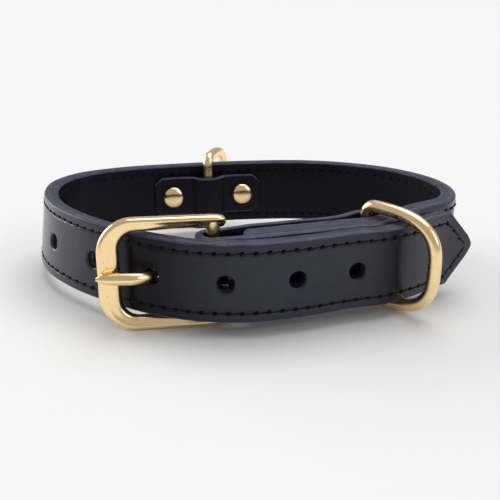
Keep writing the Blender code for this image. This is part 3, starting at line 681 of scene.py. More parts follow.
def leather_finish(name, face, edge, roughness, grain_depth, specular, coat):
    """Smooth dyed leather with fine grain, and burnished edges with fibre lines along them."""
    finish = Finish(name)
    place = finish.object_place()
    on_edge = finish.attribute("edge").clamped()
    wear = finish.attribute("wear").clamped()
    # The mesh's painted shade, which also takes away some of the coat's gloss
    dull = finish.attribute("dull").clamped()
    broad = finish.noise(place, 45.0, 3.0)
    mottle = finish.noise(place, 260.0, 4.0, 0.6)
    fibres = finish.noise(finish.leather_place(180.0, 4200.0), 1.0, 3.0, 0.65)
    grain = finish.cells(place, 2600.0)
    fine = finish.noise(place, 1500.0, 3.0, 0.6)
    crackle = finish.cells(place, 900.0, "DISTANCE_TO_EDGE")
    tone = (broad * 0.5 + mottle * 0.5).ramp(0.35, 0.68)
    skin = finish.blend(tone, scaled(face, 0.72), scaled(face, 1.35))
    band = fibres.ramp(0.36, 0.66)
    rim = finish.blend(band, scaled(edge, 0.28), scaled(edge, 1.45))
    # Painted shade: the skin darkened towards near black through the buckle and in the dip under the front
    # ring
    deep = finish.blend(dull * 0.85, skin, scaled(face, 0.12))
    finish.set(Base_Color=finish.blend(on_edge, deep, rim))
    gloss = (mottle - 0.5) * 0.16 + (broad - 0.5) * 0.18 + roughness
    worn = wear * crackle.ramp(0.0, 0.25)
    finish.set(Roughness=(gloss + on_edge * 0.14 - worn * 0.16).clamped())
    finish.shader.inputs["Specular IOR Level"].default_value = specular
    finish.set(Coat_Weight=((1.0 - dull * 0.9) * coat * (1.0 - on_edge * 0.6)).clamped())
    finish.shader.inputs["Coat Roughness"].default_value = 0.17
    finish.shader.inputs["Specular Tint"].default_value = (0.80, 0.82, 1.0, 1.0)
    small = finish.bump(grain * 0.6 + fine * 0.8, grain_depth, 0.8)
    lines = finish.bump(fibres * on_edge, 0.12 * MM, 0.9, small)
    finish.set(Normal=finish.bump(wear * crackle.ramp(0.0, 0.4), 0.16 * MM, 0.9, lines))
    return finish.material


def thread_finish(colours):
    finish = Finish("waxed_thread")
    place = finish.object_place()
    twist = finish.noise(place, 2200.0, 2.0)
    finish.set(Base_Color=finish.blend(twist, tuple(colours.thread), scaled(colours.thread, 2.4)))
    finish.set(Roughness=0.5 + 0.3 * twist)
    finish.shader.inputs["Specular IOR Level"].default_value = 0.15
    finish.set(Normal=finish.bump(twist, 0.05 * MM, 0.8))
    return finish.material


# Painted shade: near black and matte, for the inside of each stitch hole
def hole_shade_finish():
    finish = Finish("stitch_hole_dark")
    depth = finish.noise(finish.object_place(), 900.0, 2.0)
    finish.set(Base_Color=finish.blend(depth, (0.0008, 0.0008, 0.001), (0.003, 0.003, 0.004)))
    finish.set(Roughness=0.75 + 0.2 * depth)
    finish.shader.inputs["Specular IOR Level"].default_value = 0.1
    return finish.material


def brass_finish(name, colours, roughness):
    """Cast brass, polished by hand, with faint ripples, pits and duller patches."""
    finish = Finish(name)
    place = finish.object_place()
    broad = finish.noise(place, 90.0, 3.0)
    patches = finish.noise(place, 420.0, 4.0, 0.62)
    pits = finish.cells(place, 520.0)
    tarnish = (patches * 0.65 + broad * 0.35).ramp(0.54, 0.80)
    specks = 1.0 - pits.ramp(0.05, 0.16)
    dull = (tarnish * 0.45 + specks * 0.6).clamped()
    finish.set(Base_Color=finish.blend(dull, tuple(colours.brass), tuple(colours.tarnish)))
    finish.set(Metallic=1.0, Roughness=(dull * 0.22 + (patches - 0.5) * 0.12 + roughness).clamped())
    ripple = finish.bump(broad + patches * 0.35, 0.10 * MM, 0.55)
    finish.set(Normal=finish.bump(pits.ramp(0.0, 0.14), 0.05 * MM, 0.6, ripple))
    return finish.material


# Geometry Nodes
class Tree:
    """A Geometry Nodes tree with named inputs, ending in Realize Instances and Set Material."""

    def __init__(self, name, inputs):
        self.group = bpy.data.node_groups.new(name, "GeometryNodeTree")
        self.sockets = {}
        self.group.interface.new_socket("Geometry", in_out="INPUT", socket_type="NodeSocketGeometry")
        for label, kind, default in inputs:
            made = self.group.interface.new_socket(label, in_out="INPUT", socket_type=kind)
            if default is not None:
                made.default_value = default
            self.sockets[label] = made.identifier
        self.group.interface.new_socket("Geometry", in_out="OUTPUT", socket_type="NodeSocketGeometry")
        self.start = self.group.nodes.new("NodeGroupInput")
        self.end = self.group.nodes.new("NodeGroupOutput")

    def given(self, label):
        return self.start.outputs[label]

    def node(self, kind, settings=None, sockets=None):
        made = self.group.nodes.new(kind)
        for key, value in (settings or {}).items():
            setattr(made, key, value)
        for key, value in (sockets or {}).items():
            if isinstance(value, bpy.types.NodeSocket):
                self.group.links.new(value, made.inputs[key])
            else:
                made.inputs[key].default_value = value
        return made

    def number(self, operation, a, b):
        return self.node("ShaderNodeMath", {"operation": operation}, {0: a, 1: b}).outputs[0]

    def vector(self, x=0.0, y=0.0, z=0.0):
        return self.node("ShaderNodeCombineXYZ", None, {0: x, 1: y, 2: z}).outputs[0]

    def finish(self, geometry):
        real = self.node("GeometryNodeRealizeInstances", None, {0: geometry}).outputs[0]
        coat = self.node("GeometryNodeSetMaterial", None,
                         {"Geometry": real, "Material": self.given("Material")})
        self.group.links.new(coat.outputs[0], self.end.inputs[0])

    def grow(self, name, mesh, values):
        """Runs the tree on a mesh and returns the result as a plain mesh."""
        carrier = bpy.data.objects.new(name + "_carrier", mesh)
        bpy.context.scene.collection.objects.link(carrier)
        modifier = carrier.modifiers.new("nodes", "NODES")
        modifier.node_group = self.group
        for label, value in values.items():
            modifier[self.sockets[label]] = value
        bpy.context.view_layer.update()
        graph = bpy.context.evaluated_depsgraph_get()
        grown = bpy.data.meshes.new_from_object(carrier.evaluated_get(graph), depsgraph=graph)
        grown.name = name
        carrier.modifiers.clear()
        bpy.data.objects.remove(carrier, do_unlink=True)
        return grown


def stitch_tree(with_hole_shade):
    """Stitches on points: the thread's short arc, or painted shade for the hole that it dives into."""
    tree = Tree("stitch_pits" if with_hole_shade else "stitch_threads", [
        ("Length", "NodeSocketFloat", 4.0 * MM), ("Thread", "NodeSocketFloat", 0.5 * MM),
        ("Slant", "NodeSocketFloat", 0.1), ("Jitter", "NodeSocketFloat", 0.06),
        ("Seed", "NodeSocketInt", 7), ("Material", "NodeSocketMaterial", None)])
    vector = {"data_type": "FLOAT_VECTOR"}
    out = tree.node("GeometryNodeInputNamedAttribute", vector, {0: "out"}).outputs[0]
    ahead = tree.node("GeometryNodeInputNamedAttribute", vector, {0: "ahead"}).outputs[0]
    face = tree.node("FunctionNodeAxesToRotation", {"primary_axis": "Z", "secondary_axis": "X"},
                     {0: out, 1: ahead}).outputs[0]
    wobble = tree.node("FunctionNodeRandomValue", {"data_type": "FLOAT"},
                       {2: -1.0, 3: 1.0, "Seed": tree.given("Seed")}).outputs[1]
    turn = tree.number("MULTIPLY_ADD", wobble, tree.given("Jitter"))
    turn.node.inputs[2].default_value = 0.0
    tree.group.links.new(tree.given("Slant"), turn.node.inputs[2])
    euler = tree.node("FunctionNodeEulerToRotation", None, {0: tree.vector(z=turn)}).outputs[0]
    spin = tree.node("FunctionNodeRotateRotation", {"rotation_space": "LOCAL"},
                     {0: face, 1: euler}).outputs[0]
    half = tree.number("MULTIPLY", tree.given("Length"), 0.5)
    thread = tree.given("Thread")
    if with_hole_shade:
        # A flattened ball of painted shade at the stitch hole
        ball = tree.node("GeometryNodeMeshUVSphere", None, {0: 10, 1: 6, 2: thread}).outputs[0]
        flat = tree.node("GeometryNodeTransform", None, {
            0: ball, "Translation": tree.vector(x=tree.number("MULTIPLY", half, -1.0)),
            "Rotation": (0.0, 0.0, 0.45), "Scale": (1.70, 1.02, 0.38)}).outputs[0]
        shape = flat
    else:
        sink = tree.number("MULTIPLY", thread, -0.55)
        high = tree.number("MULTIPLY", thread, 0.75)
        reach = tree.number("MULTIPLY", half, 0.98)
        back = tree.number("MULTIPLY", reach, -1.0)
        arc = tree.node("GeometryNodeCurveQuadraticBezier", None, {
            "Resolution": 7, "Start": tree.vector(x=back, z=sink), "Middle": tree.vector(z=high),
            "End": tree.vector(x=reach, z=sink)}).outputs[0]
        ring = tree.node("GeometryNodeCurvePrimitiveCircle", None,
                         {"Resolution": 7, "Radius": tree.number("MULTIPLY", thread, 0.5)}).outputs[0]
        shape = tree.node("GeometryNodeCurveToMesh", None,
                          {"Curve": arc, "Profile Curve": ring, "Fill Caps": True}).outputs[0]
    smooth = tree.node("GeometryNodeSetShadeSmooth", None, {0: shape}).outputs[0]
    spread = tree.node("GeometryNodeInstanceOnPoints", None, {
        "Points": tree.given("Geometry"), "Instance": smooth, "Rotation": spin}).outputs[0]
    tree.finish(spread)
    return tree


def wire_tree():
    """A round wire bent along a closed outline."""
    tree = Tree("ring_wire", [("Wire", "NodeSocketFloat", RING_WIRE), ("Sides", "NodeSocketInt", 24),
                              ("Material", "NodeSocketMaterial", None)])
    line = tree.node("GeometryNodeMeshToCurve", None, {0: tree.given("Geometry")}).outputs[0]
    radius = tree.number("MULTIPLY", tree.given("Wire"), 0.5)
    ring = tree.node("GeometryNodeCurvePrimitiveCircle", None,
                     {"Resolution": tree.given("Sides"), "Radius": radius}).outputs[0]
    skin = tree.node("GeometryNodeCurveToMesh", None, {"Curve": line, "Profile Curve": ring}).outputs[0]
    tree.finish(tree.node("GeometryNodeSetShadeSmooth", None, {0: skin}).outputs[0])
    return tree


def looks():
    return bpy.context.scene.collar_colours


def sizes():
    return bpy.context.scene.collar_sizes


MADE = {}


def collar_plan():
    """The routes, worked out once."""
    if "plan" not in MADE:
        MADE["plan"] = Collar()
    return MADE["plan"]


def finish_for(name):
    """Each finish, made once and shared by its pieces."""
    if name not in MADE:
        colours = looks()
        makers = {
            "grain": lambda: leather_finish("black_grain_leather", tuple(colours.grain),
                                            tuple(colours.edge), 0.36, 0.022 * MM, 0.14, 0.66),
            "lining": lambda: leather_finish("black_lining_leather", tuple(colours.lining),
                                             tuple(colours.edge), 0.50, 0.060 * MM, 0.20, 0.06),
            "thread": lambda: thread_finish(colours),
            # The pit finish is painted shade for the stitch holes
            "pit": hole_shade_finish,
            "cast": lambda: brass_finish("cast_brass", colours, 0.21),
            "wire": lambda: brass_finish("brass_wire", colours, 0.24),
        }
        MADE[name] = makers[name]()
    return MADE[name]


def strap_rows(plan):
    """Rows along the whole outer ply: close together at the tip, then a quarter of a stitch apart."""
    step = sizes().stitch_pitch / REST_ROWS
    first = math.ceil(TAPER_END / sizes().stitch_pitch) * sizes().stitch_pitch
    tip = [0.0, 0.12 * MM, 0.35 * MM, 0.7 * MM, 1.2 * MM, 1.8 * MM]
    run = np.arange(2.5 * MM, first - step / 2, step * 0.95)
    body = np.arange(first, plan.whole.length - 0.4 * step, step)
    rows = np.concatenate([tip, run[run < first - 0.4 * step], body, [plan.whole.length]])
    phase = np.array([1.0 if s >= first - 1e-6 and round((s - first) / step) % REST_ROWS == 0 else 0.0
                      for s in rows])
    return rows, phase, first


def half_heights(plan, rows):
    """Half the strap's height at each row, with a rounded nose at the tip."""
    half = STRAP_WIDTH / 2 * np.interp(rows, plan.whole.along, plan.whole.columns["height"])
    round_off = np.clip(rows / NOSE_ROUND, 0.02, 1.0)
    return half * np.sqrt(1 - (1 - round_off) ** 2) ** 0.9


# The groove's depth as a share of its full depth, by column of the strap
GROOVE = {8.95: 0.35, 9.5: 1.0, 10.05: 0.35, 8.5: -0.12, 10.5: -0.12}


def build_outer_ply():
    plan = collar_plan()
    rows, phase, first = strap_rows(plan)
    half = half_heights(plan, rows)
    edges = [PlyEdge(-0.36, (0.0, 0.06 * MM)), PlyEdge(-0.12, (0.0, 0.24 * MM)),
             PlyEdge(0.0, (0.0, 0.60 * MM)), PlyEdge(0.05, (0.5, 0.0)), PlyEdge(0.0, (1.0, -0.35 * MM)),
             PlyEdge(-0.08, (1.0, -0.04 * MM))]
    front = np.zeros(len(rows))
    back = np.full(len(rows), OUTER_PLY + 0.04 * MM)
    ply = Ply(plan.whole, rows, half, front, back, GROOVE, edges)
    groove = np.where(rows < first, 0.0, sizes().groove)
    fold_start = plan.strap.length - FOLD_PLAIN_BEFORE
    fold_end = plan.strap.length + plan.fold_length + FOLD_PLAIN_AFTER
    fold = (rows > fold_start) & (rows < fold_end)
    groove = np.where(fold, 0.0, groove)
    ply.skin(np.where(fold, 0.0, phase), sizes().pit, groove)
    punch_holes(ply, plan, rows)
    cut_slot(ply, plan, rows)
    # The last map is painted shade, which also takes some gloss off the leather
    mesh = ply.build("outer_ply_leather", wear_map(ply, plan), painted_shade_map(ply))
    return mesh_object("outer_ply_leather", mesh, finish_for("grain"),
                       nodes=("strap_outer_ply",))


def punch_holes(ply, plan, rows, snug=1.0):
    """Opens every hole, with the prong's own made snug by a share of its size."""
    middle = ply.face_count // 2
    for n, centre in enumerate(plan.hole_centres()):
        share = snug if n == PRONG_HOLE else 1.0
        i = int(np.argmin(np.abs(rows - centre)))
        rings = [(r * share * MM, 0.0, deep * MM) for r, deep in HOLE_RINGS]
        wall = HOLE_RINGS[-1][0] * share * MM
        rings += [(wall, 1.0, -0.15 * MM), (wall + 0.1 * MM, 1.0, 0.0)]
        ply.opening(i - HOLE_ROWS, i + HOLE_ROWS, middle - HOLE_COLUMN, middle + HOLE_COLUMN,
                    centre, rings)


def cut_slot(ply, plan, rows):
    """The slot in the fold that lets the prong out."""
    middle = ply.face_count // 2
    reach = HEEL_BAR_DIAMETER / 2 + FOLD_SLACK + OUTER_PLY
    first = int(np.argmin(np.abs(rows - (plan.strap.length - reach))))
    last = int(np.argmin(np.abs(rows - (plan.strap.length + plan.fold_length + reach))))
    ply.opening(first, last, middle - SLOT_COLUMN, middle + SLOT_COLUMN)


def wear_map(ply, plan):
    """Creased, brighter grain along the lower edge in front and where the strap bends."""
    s = np.array(ply.along)
    height = np.array([v[2] for v in ply.verts]) - plan.middle
    low = np.clip((-height - 8.8 * MM) / (0.8 * MM), 0.0, 1.0)
    front = np.exp(-((s - 82 * MM) / (22 * MM)) ** 2) + 0.7 * np.exp(-((s - 30 * MM) / (7 * MM)) ** 2)
    high = 0.35 * np.clip((height - 9.6 * MM) / (0.6 * MM), 0.0, 1.0)
    return np.clip(front, 0.0, 1.0) * np.clip(low + high, 0.0, 1.0)


def painted_shade_map(ply):
    """Painted shade, with less gloss: through the buckle, and in the dip under the front ring."""
    s = np.array(ply.along)
    buckle = np.exp(-((s - 116 * MM) / (19 * MM)) ** 2)
    dip = 0.8 * np.exp(-((s - 37 * MM) / (4.5 * MM)) ** 2)
    return np.clip(buckle + dip, 0.0, 1.0)


def build_lining_ply():
    plan = collar_plan()
    rows, _, _ = strap_rows(plan)
    end = plan.strap.length - LINING_FROM_HEEL
    rows = np.concatenate([rows[rows < end - 0.8 * MM], [end - 0.5 * MM, end - 0.15 * MM, end]])
    half = half_heights(plan, rows)
    stop = np.clip((end - rows) / (2.4 * MM), 0.01, 1.0)
    half = half - 1.9 * MM * (1 - np.sqrt(1 - (1 - stop) ** 2))
    stack = np.interp(rows, plan.strap.along, plan.strap.columns["stack"])
    front = np.full(len(rows), OUTER_PLY + 0.10 * MM)
    back = OUTER_PLY + PLY_GAP + lining_thickness(stack)
    edges = [PlyEdge(-0.10, (0.0, 0.03 * MM)), PlyEdge(0.0, (0.0, 0.28 * MM)), PlyEdge(0.05, (0.42, 0.0)),
             PlyEdge(-0.07, (0.5, 0.0)), PlyEdge(0.05, (0.58, 0.0)), PlyEdge(0.0, (1.0, -0.62 * MM)),
             PlyEdge(-0.14, (1.0, -0.24 * MM)), PlyEdge(-0.38, (1.0, -0.06 * MM))]
    ply = Ply(plan.whole, rows, half, front, back, {}, edges)
    ply.skin(np.zeros(len(rows)), 0.0, np.zeros(len(rows)))
    punch_holes(ply, plan, rows, LINING_HOLE_SNUG)
    plain = np.zeros(len(ply.verts))
    mesh = ply.build("lining_ply_leather", plain, plain)
    return mesh_object("lining_ply_leather", mesh, finish_for("lining"),
                       nodes=("strap_lining_ply",))


def stitch_holes_along(path, pitch, fitted):
    """Stitch holes a pitch apart on a path, or as near to it as fits the path's whole length."""
    path = np.array(path)
    step = np.hypot(np.diff(path[:, 0]), np.diff(path[:, 1]))
    run = np.concatenate([[0.0], np.cumsum(step)])
    if fitted:
        at = np.linspace(0.0, run[-1], round(run[-1] / pitch) + 1)
    else:
        at = np.arange(0.0, run[-1], pitch)
    return np.interp(at, run, path[:, 0]), np.interp(at, run, path[:, 1])


def stitch_points(plan):
    """Where each stitch lies: its middle, its way and the way out of the leather."""
    pitch = sizes().stitch_pitch
    _, _, first = strap_rows(plan)
    line = STRAP_WIDTH / 2 - sizes().stitch_inset
    slope = (STRAP_WIDTH / 2 * (1 - ROUTE[0][3])) / TAPER_END
    inset = sizes().stitch_inset * math.hypot(1.0, slope)
    meet = (inset - STRAP_WIDTH / 2 * ROUTE[0][3]) / slope
    corner = TAPER_END - (STRAP_WIDTH / 2 - inset - line) / slope
    fold_start = plan.strap.length - FOLD_PLAIN_BEFORE
    fold_end = plan.strap.length + plan.fold_length + FOLD_UNSEWN_AFTER
    whole_end = plan.whole.length - 2.5 * MM
    spots, ways, outs = [], [], []

    def sew(route, path, deep, sign, fitted=False):
        s, up = stitch_holes_along(path, pitch, fitted)
        place = route.place(s, up, deep(s))
        under = route.place(s, up, deep(s) + 1.0 * MM)
        middle = (place[1:] + place[:-1]) / 2
        way = place[1:] - place[:-1]
        out = (place - under)[1:] * sign
        spots.extend(middle)
        ways.extend(way / np.linalg.norm(way, axis=1)[:, None])
        outs.extend(out / np.linalg.norm(out, axis=1)[:, None])

    def on_face(s):
        return np.where(s < first, 0.02 * MM, sizes().groove * 0.8)

    def on_lining(s):
        stack = np.interp(s, plan.strap.along, plan.strap.columns["stack"])
        return OUTER_PLY + PLY_GAP + lining_thickness(stack)

    for side in (-1.0, 1.0):
        sew(plan.whole, [(first, side * line), (corner, side * line), (meet, 0.0)], on_face, 1.0,
            fitted=True)
        sew(plan.whole, [(first, side * line), (fold_start, side * line)], on_face, 1.0)
        start = first + math.ceil((fold_end - first) / pitch) * pitch
        sew(plan.whole, [(start, side * line), (whole_end, side * line)], on_face, 1.0)
        lining_start = first + LINING_SEAM_START * pitch
        lining_end = plan.strap.length - LINING_FROM_HEEL - 3 * MM
        sew(plan.whole, [(lining_start, side * line), (lining_end, side * line)], on_lining, -1.0)
    mesh = bpy.data.meshes.new("stitch_places")
    mesh.from_pydata([tuple(p) for p in spots], [], [])
    for name, values in (("ahead", ways), ("out", outs)):
        layer = mesh.attributes.new(name, "FLOAT_VECTOR", "POINT")
        layer.data.foreach_set("vector", np.array(values, np.float32).ravel())
    return mesh


def build_stitches():
    plan = collar_plan()
    # The second seam is painted shade in the stitch holes
    seams = (("edge_stitches", False, "thread", 7), ("stitch_pits", True, "pit", 19))
    for name, with_hole_shade, look, seed in seams:
        tree = stitch_tree(with_hole_shade)
        mesh = tree.grow(name, stitch_points(plan), {
            "Length": sizes().stitch_pitch, "Thread": sizes().thread, "Slant": 0.10, "Jitter": 0.07,
            "Seed": seed, "Material": finish_for(look)})
        mesh_object(name, mesh, finish_for(look))


# Buckle
def buckle_axes(plan):
    heading = math.atan2(plan.heel_ahead[1], plan.heel_ahead[0]) + math.radians(BUCKLE_SWING)
    along = Vector((math.cos(heading), math.sin(heading), 0.0))
    out = Matrix.Rotation(math.radians(BUCKLE_LEAN), 3, along) @ Vector((-along.y, along.x, 0.0))
    turn = Matrix((along, out.cross(along), out)).transposed().to_4x4()
    return Matrix.Translation((*plan.heel, plan.middle)) @ turn


def frame_lines():
    """Matching points on the frame's outer and inner outlines, from one ear round to the other."""
    half = BUCKLE_HEIGHT / 2
    inner = half - BUCKLE_ARM
    front = BUCKLE_REACH + BUCKLE_FRONT_BAR / 2
    window = BUCKLE_REACH - BUCKLE_FRONT_BAR / 2
    outer_arc = (front - BUCKLE_OUTER_RADIUS, half - BUCKLE_OUTER_RADIUS)
    inner_arc = (window - BUCKLE_INNER_RADIUS, inner - BUCKLE_INNER_RADIUS)
    pairs = []
    for t in np.linspace(0.0, 1.0, 17)[:-1]:
        pairs.append(((-BUCKLE_EAR + (outer_arc[0] + BUCKLE_EAR) * t, half),
                      (-BUCKLE_EAR + (inner_arc[0] + BUCKLE_EAR) * t, inner)))
    for t in np.linspace(0.0, 1.0, 21):
        a = math.pi / 2 * (1 - t)
        pairs.append(((outer_arc[0] + BUCKLE_OUTER_RADIUS * math.cos(a),
                       outer_arc[1] + BUCKLE_OUTER_RADIUS * math.sin(a)),
                      (inner_arc[0] + BUCKLE_INNER_RADIUS * math.cos(a),
                       inner_arc[1] + BUCKLE_INNER_RADIUS * math.sin(a))))
    for t in np.linspace(0.0, 1.0, 7)[1:]:
        pairs.append(((front, outer_arc[1] * (1 - t)), (window, inner_arc[1] * (1 - t))))
    return pairs + [((a[0], -a[1]), (b[0], -b[1])) for a, b in reversed(pairs[:-1])]


# The frame's section: share of the way from its outer line to its inner one, and height in half
# thicknesses
FRAME_SECTION = (
    (-0.02, 0.0), (-0.02, 0.36), (0.0, 0.66), (0.05, 0.88), (0.12, 1.0), (0.20, 1.06), (0.29, 1.07),
    (0.37, 1.01), (0.46, 0.93), (0.56, 0.88), (0.66, 0.84), (0.76, 0.79), (0.86, 0.68), (0.94, 0.48),
    (1.0, 0.20), (1.02, -0.10), (1.01, -0.40), (0.97, -0.68), (0.88, -0.90), (0.74, -1.0), (0.50, -1.0),
    (0.26, -1.0), (0.12, -0.90), (0.03, -0.68), (-0.01, -0.34),
)


def build_buckle():
    plan = collar_plan()
    axes = buckle_axes(plan)
    pairs = frame_lines()
    last = len(pairs) - 1
    verts, faces = [], []
    count = len(FRAME_SECTION)
    for i, (outer, inner) in enumerate(pairs):
        to_end = min(i, last - i)
        shrink = (0.35, 0.78, 0.95)[to_end] if to_end < 3 else 1.0
        shift = (0.0, -0.9 * MM, -0.6 * MM)[to_end] if to_end < 3 else 0.0
        for w, z in FRAME_SECTION:
            w = 0.5 + (w - 0.5) * shrink
            x = outer[0] + (inner[0] - outer[0]) * w + shift
            y = outer[1] + (inner[1] - outer[1]) * w
            verts.append(tuple(axes @ Vector((x, y, z * shrink * BUCKLE_THICKNESS / 2))))
    for i in range(last):
        for c in range(count):
            n = (c + 1) % count
            faces.append((i * count + c, i * count + n, (i + 1) * count + n, (i + 1) * count + c))
    faces.append(tuple(range(count)))
    faces.append(tuple(last * count + c for c in range(count)))
    mesh = solid_mesh("half_buckle", verts, faces, 50.0)
    mesh_object("half_buckle", mesh, finish_for("cast"), nodes=("buckle_frame",))

    reach = BUCKLE_HEIGHT / 2 - BUCKLE_ARM / 2
    ring = [(HEEL_BAR_DIAMETER / 2 * math.cos(a), HEEL_BAR_DIAMETER / 2 * math.sin(a))
            for a in np.linspace(0.0, 2 * math.pi, 33)[:-1]]
    centres = [axes @ Vector((0.0, y, 0.0)) for y in np.linspace(-reach, reach, 9)]
    side, up = axes.to_3x3() @ Vector((1, 0, 0)), axes.to_3x3() @ Vector((0, 0, 1))
    verts, faces = sweep(centres, [side] * 9, [up] * 9, [ring] * 9)
    mesh_object("heel_bar", solid_mesh("heel_bar", verts, faces), finish_for("cast"))


def prong_section(width, thick, ridge):
    """Half-round below and a soft ridge on top, anticlockwise."""
    ring = []
    for a in np.linspace(0.0, 2 * math.pi, 21)[:-1]:
        x = math.cos(a)
        y = math.sin(a)
        top = 1.0 + ridge * max(0.0, y) * (1.0 - abs(x)) * 0.9 - ridge * 0.35 * max(0.0, y) * abs(x)
        ring.append((width / 2 * x, thick / 2 * y * top))
    return ring


def build_prong():
    plan = collar_plan()
    axes = buckle_axes(plan)
    into = axes.inverted()
    strap = plan.cad
    thickness = OUTER_PLY + PLY_GAP + LINING_PLY
    loop_radius = HEEL_BAR_DIAMETER / 2 + CLEARANCE + PRONG_LOOP_WIRE / 2
    thin = PRONG_LOOP_WIRE / PRONG_DIAMETER
    points = []
    for i in range(PRONG_LOOP_POINTS + 1):
        angle = math.radians(90.0 + PRONG_LOOP_TURN * (1 - i / PRONG_LOOP_POINTS))
        points.append((loop_radius * math.cos(angle), loop_radius * math.sin(angle), thin, 0.0))
    s = plan.hole_distances()[PRONG_HOLE]
    point, _, inward = strap.at(s)
    lean = strap.column("lean", s)
    outside = into @ Vector((*point, plan.middle))
    square = Vector((inward[0] * math.cos(lean), inward[1] * math.cos(lean), -math.sin(lean)))
    way = (into.to_3x3() @ -square).normalized()
    lining = outside - way * thickness
    anchors = {
        "way": Vector((0.0, 0.0, loop_radius)).lerp(lining, PRONG_LEAD), "lining": lining,
        "hole": outside - way * thickness / 2, "face": outside,
        "bar": Vector((BUCKLE_REACH, 0.0, BUCKLE_THICKNESS / 2 + CLEARANCE + PRONG_DIAMETER / 2)),
    }
    for name, along, rise, width in PRONG_BENDS:
        anchor = anchors[name]
        width = max(thin, width) if name != "bar" else width
        shape = 1.0 if name in ("face", "bar") else 0.0
        points.append((anchor.x + along * PRONG_DIAMETER, anchor.z + rise * PRONG_DIAMETER, width, shape))
    columns = {"width": [p[2] for p in points], "shape": [p[3] for p in points]}
    line = Route([p[:2] for p in points], columns, step=0.55 * MM)
    turn = axes.to_3x3()
    centres, ups, rings = [], [], []
    stations = zip(line.points, line.ahead, line.columns["width"], line.columns["shape"])
    for (x, z), (ax, az), width, shape in stations:
        centres.append(axes @ Vector((x, 0.0, z)))
        ups.append(turn @ Vector((-az, 0.0, ax)))
        size = PRONG_DIAMETER * width
        rings.append(prong_section(size * (1.0 + 0.10 * shape), size * (1.0 - 0.10 * shape), 0.22 * shape))
    side = turn @ Vector((0.0, 1.0, 0.0))
    verts, faces = sweep(centres, [side] * len(centres), ups, rings)
    mesh = solid_mesh("buckle_tongue", verts, faces, 60.0)
    mesh_object("buckle_tongue", mesh, finish_for("cast"), nodes=("buckle_prong",))


# D-rings
def ring_outline(corner_steps, bow_steps):
    half = RING_INNER_HEIGHT / 2 + RING_WIRE / 2
    depth = RING_INNER_DEPTH + RING_WIRE
    corner = RING_CORNER
    points = [(0.0, y * (half - corner)) for y in np.linspace(-1.0, 1.0, 13)]
    arc = []
    for i in range(1, corner_steps):
        angle = math.pi / 2 * i / corner_steps
        arc.append((corner * (1 - math.cos(angle)), half - corner * (1 - math.sin(angle))))
    points += arc
    for i in range(bow_steps + 1):
        angle = math.pi / 2 - math.pi * i / bow_steps
        along, up = math.cos(angle), math.sin(angle)
        x = corner + (depth - corner) * abs(along) ** (2 / RING_BOW_POWER)
        points.append((x, half * math.copysign(abs(up) ** (2 / RING_BOW_POWER), up)))
    points += [(x, -y) for x, y in reversed(arc)]
    return even_loop(np.array(points), 132)


def even_loop(points, count):
    """The same closed line with its points evenly apart."""
    closed = np.vstack([points, points[:1]])
    run = np.concatenate([[0.0], np.cumsum(np.linalg.norm(np.diff(closed, axis=0), axis=1))])
    at = np.linspace(0.0, run[-1], count + 1)[:-1]
    return np.column_stack([np.interp(at, run, closed[:, k]) for k in (0, 1)])


def build_rings():
    plan = collar_plan()
    tree = wire_tree()
    outline = ring_outline(9, 120)
    for name, node, body, (place, heading) in (
            ("lead_ring_front", "front_d_ring", "front_ring", plan.front_ring),
            ("lead_ring_rear", "rear_d_ring", "rear_ring", plan.rear_ring)):
        verts = [(place[0] + x * math.cos(heading), place[1] + x * math.sin(heading), plan.middle + z)
                 for x, z in outline]
        line = bpy.data.meshes.new(name + "_line")
        line.from_pydata(verts, [(i, (i + 1) % len(verts)) for i in range(len(verts))], [])
        mesh = tree.grow(name, line, {"Wire": RING_WIRE, "Sides": sizes().wire_sides,
                                      "Material": finish_for("wire")})
        mesh_object(name, mesh, finish_for("wire"), body, (node,))


# Rear tab and rivets
def build_tab():
    plan = collar_plan()
    thickness = OUTER_PLY + PLY_GAP + LINING_PLY
    points, lean = [], []
    for along, rise in TAB_LINE:
        s = TAB_FROM_TIP + along * TAB_LENGTH / 2
        point, _, inward = plan.cad.at(s)
        lean.append(plan.cad.column("lean", s))
        room = thickness + CLEARANCE * 0.4 + rise * (RING_WIRE + RING_PLAY)
        points.append(tuple(point + inward * room))
    line = Route(points, {"height": [1.0] * len(points), "lean": lean}, step=0.5 * MM)
    line.middle = plan.middle
    rows = np.concatenate([[0.0, 0.2 * MM, 0.5 * MM],
                           np.arange(0.9 * MM, line.length - 0.8 * MM, 0.75 * MM),
                           [line.length - 0.5 * MM, line.length - 0.2 * MM, line.length]])
    edge = np.minimum(rows, line.length - rows)
    half = TAB_WIDTH / 2 - TAB_CORNER * np.clip(1 - edge / TAB_CORNER, 0, 1)
    columns = (0.0, 1.2, 2.4, 3.6, 4.8, 5.6, 6.4, 7.0, 7.4)
    edges = [PlyEdge(-0.3, (0.0, 0.05 * MM)), PlyEdge(-0.08, (0.0, 0.3 * MM)), PlyEdge(0.0, (0.5, 0.0)),
             PlyEdge(-0.08, (1.0, -0.4 * MM)), PlyEdge(-0.35, (1.0, -0.08 * MM))]
    round_off = 0.45 * MM * np.clip(1 - edge / (0.6 * MM), 0, 1) ** 2
    ply = Ply(line, rows, half, round_off, TAB_PLY - round_off, {}, edges, columns)
    ply.skin(np.zeros(len(rows)), 0.0, np.zeros(len(rows)))
    plain = np.zeros(len(ply.verts))
    mesh = ply.build("ring_tab", plain, plain)
    mesh_object("ring_tab", mesh, finish_for("lining"), nodes=("rear_tab",))


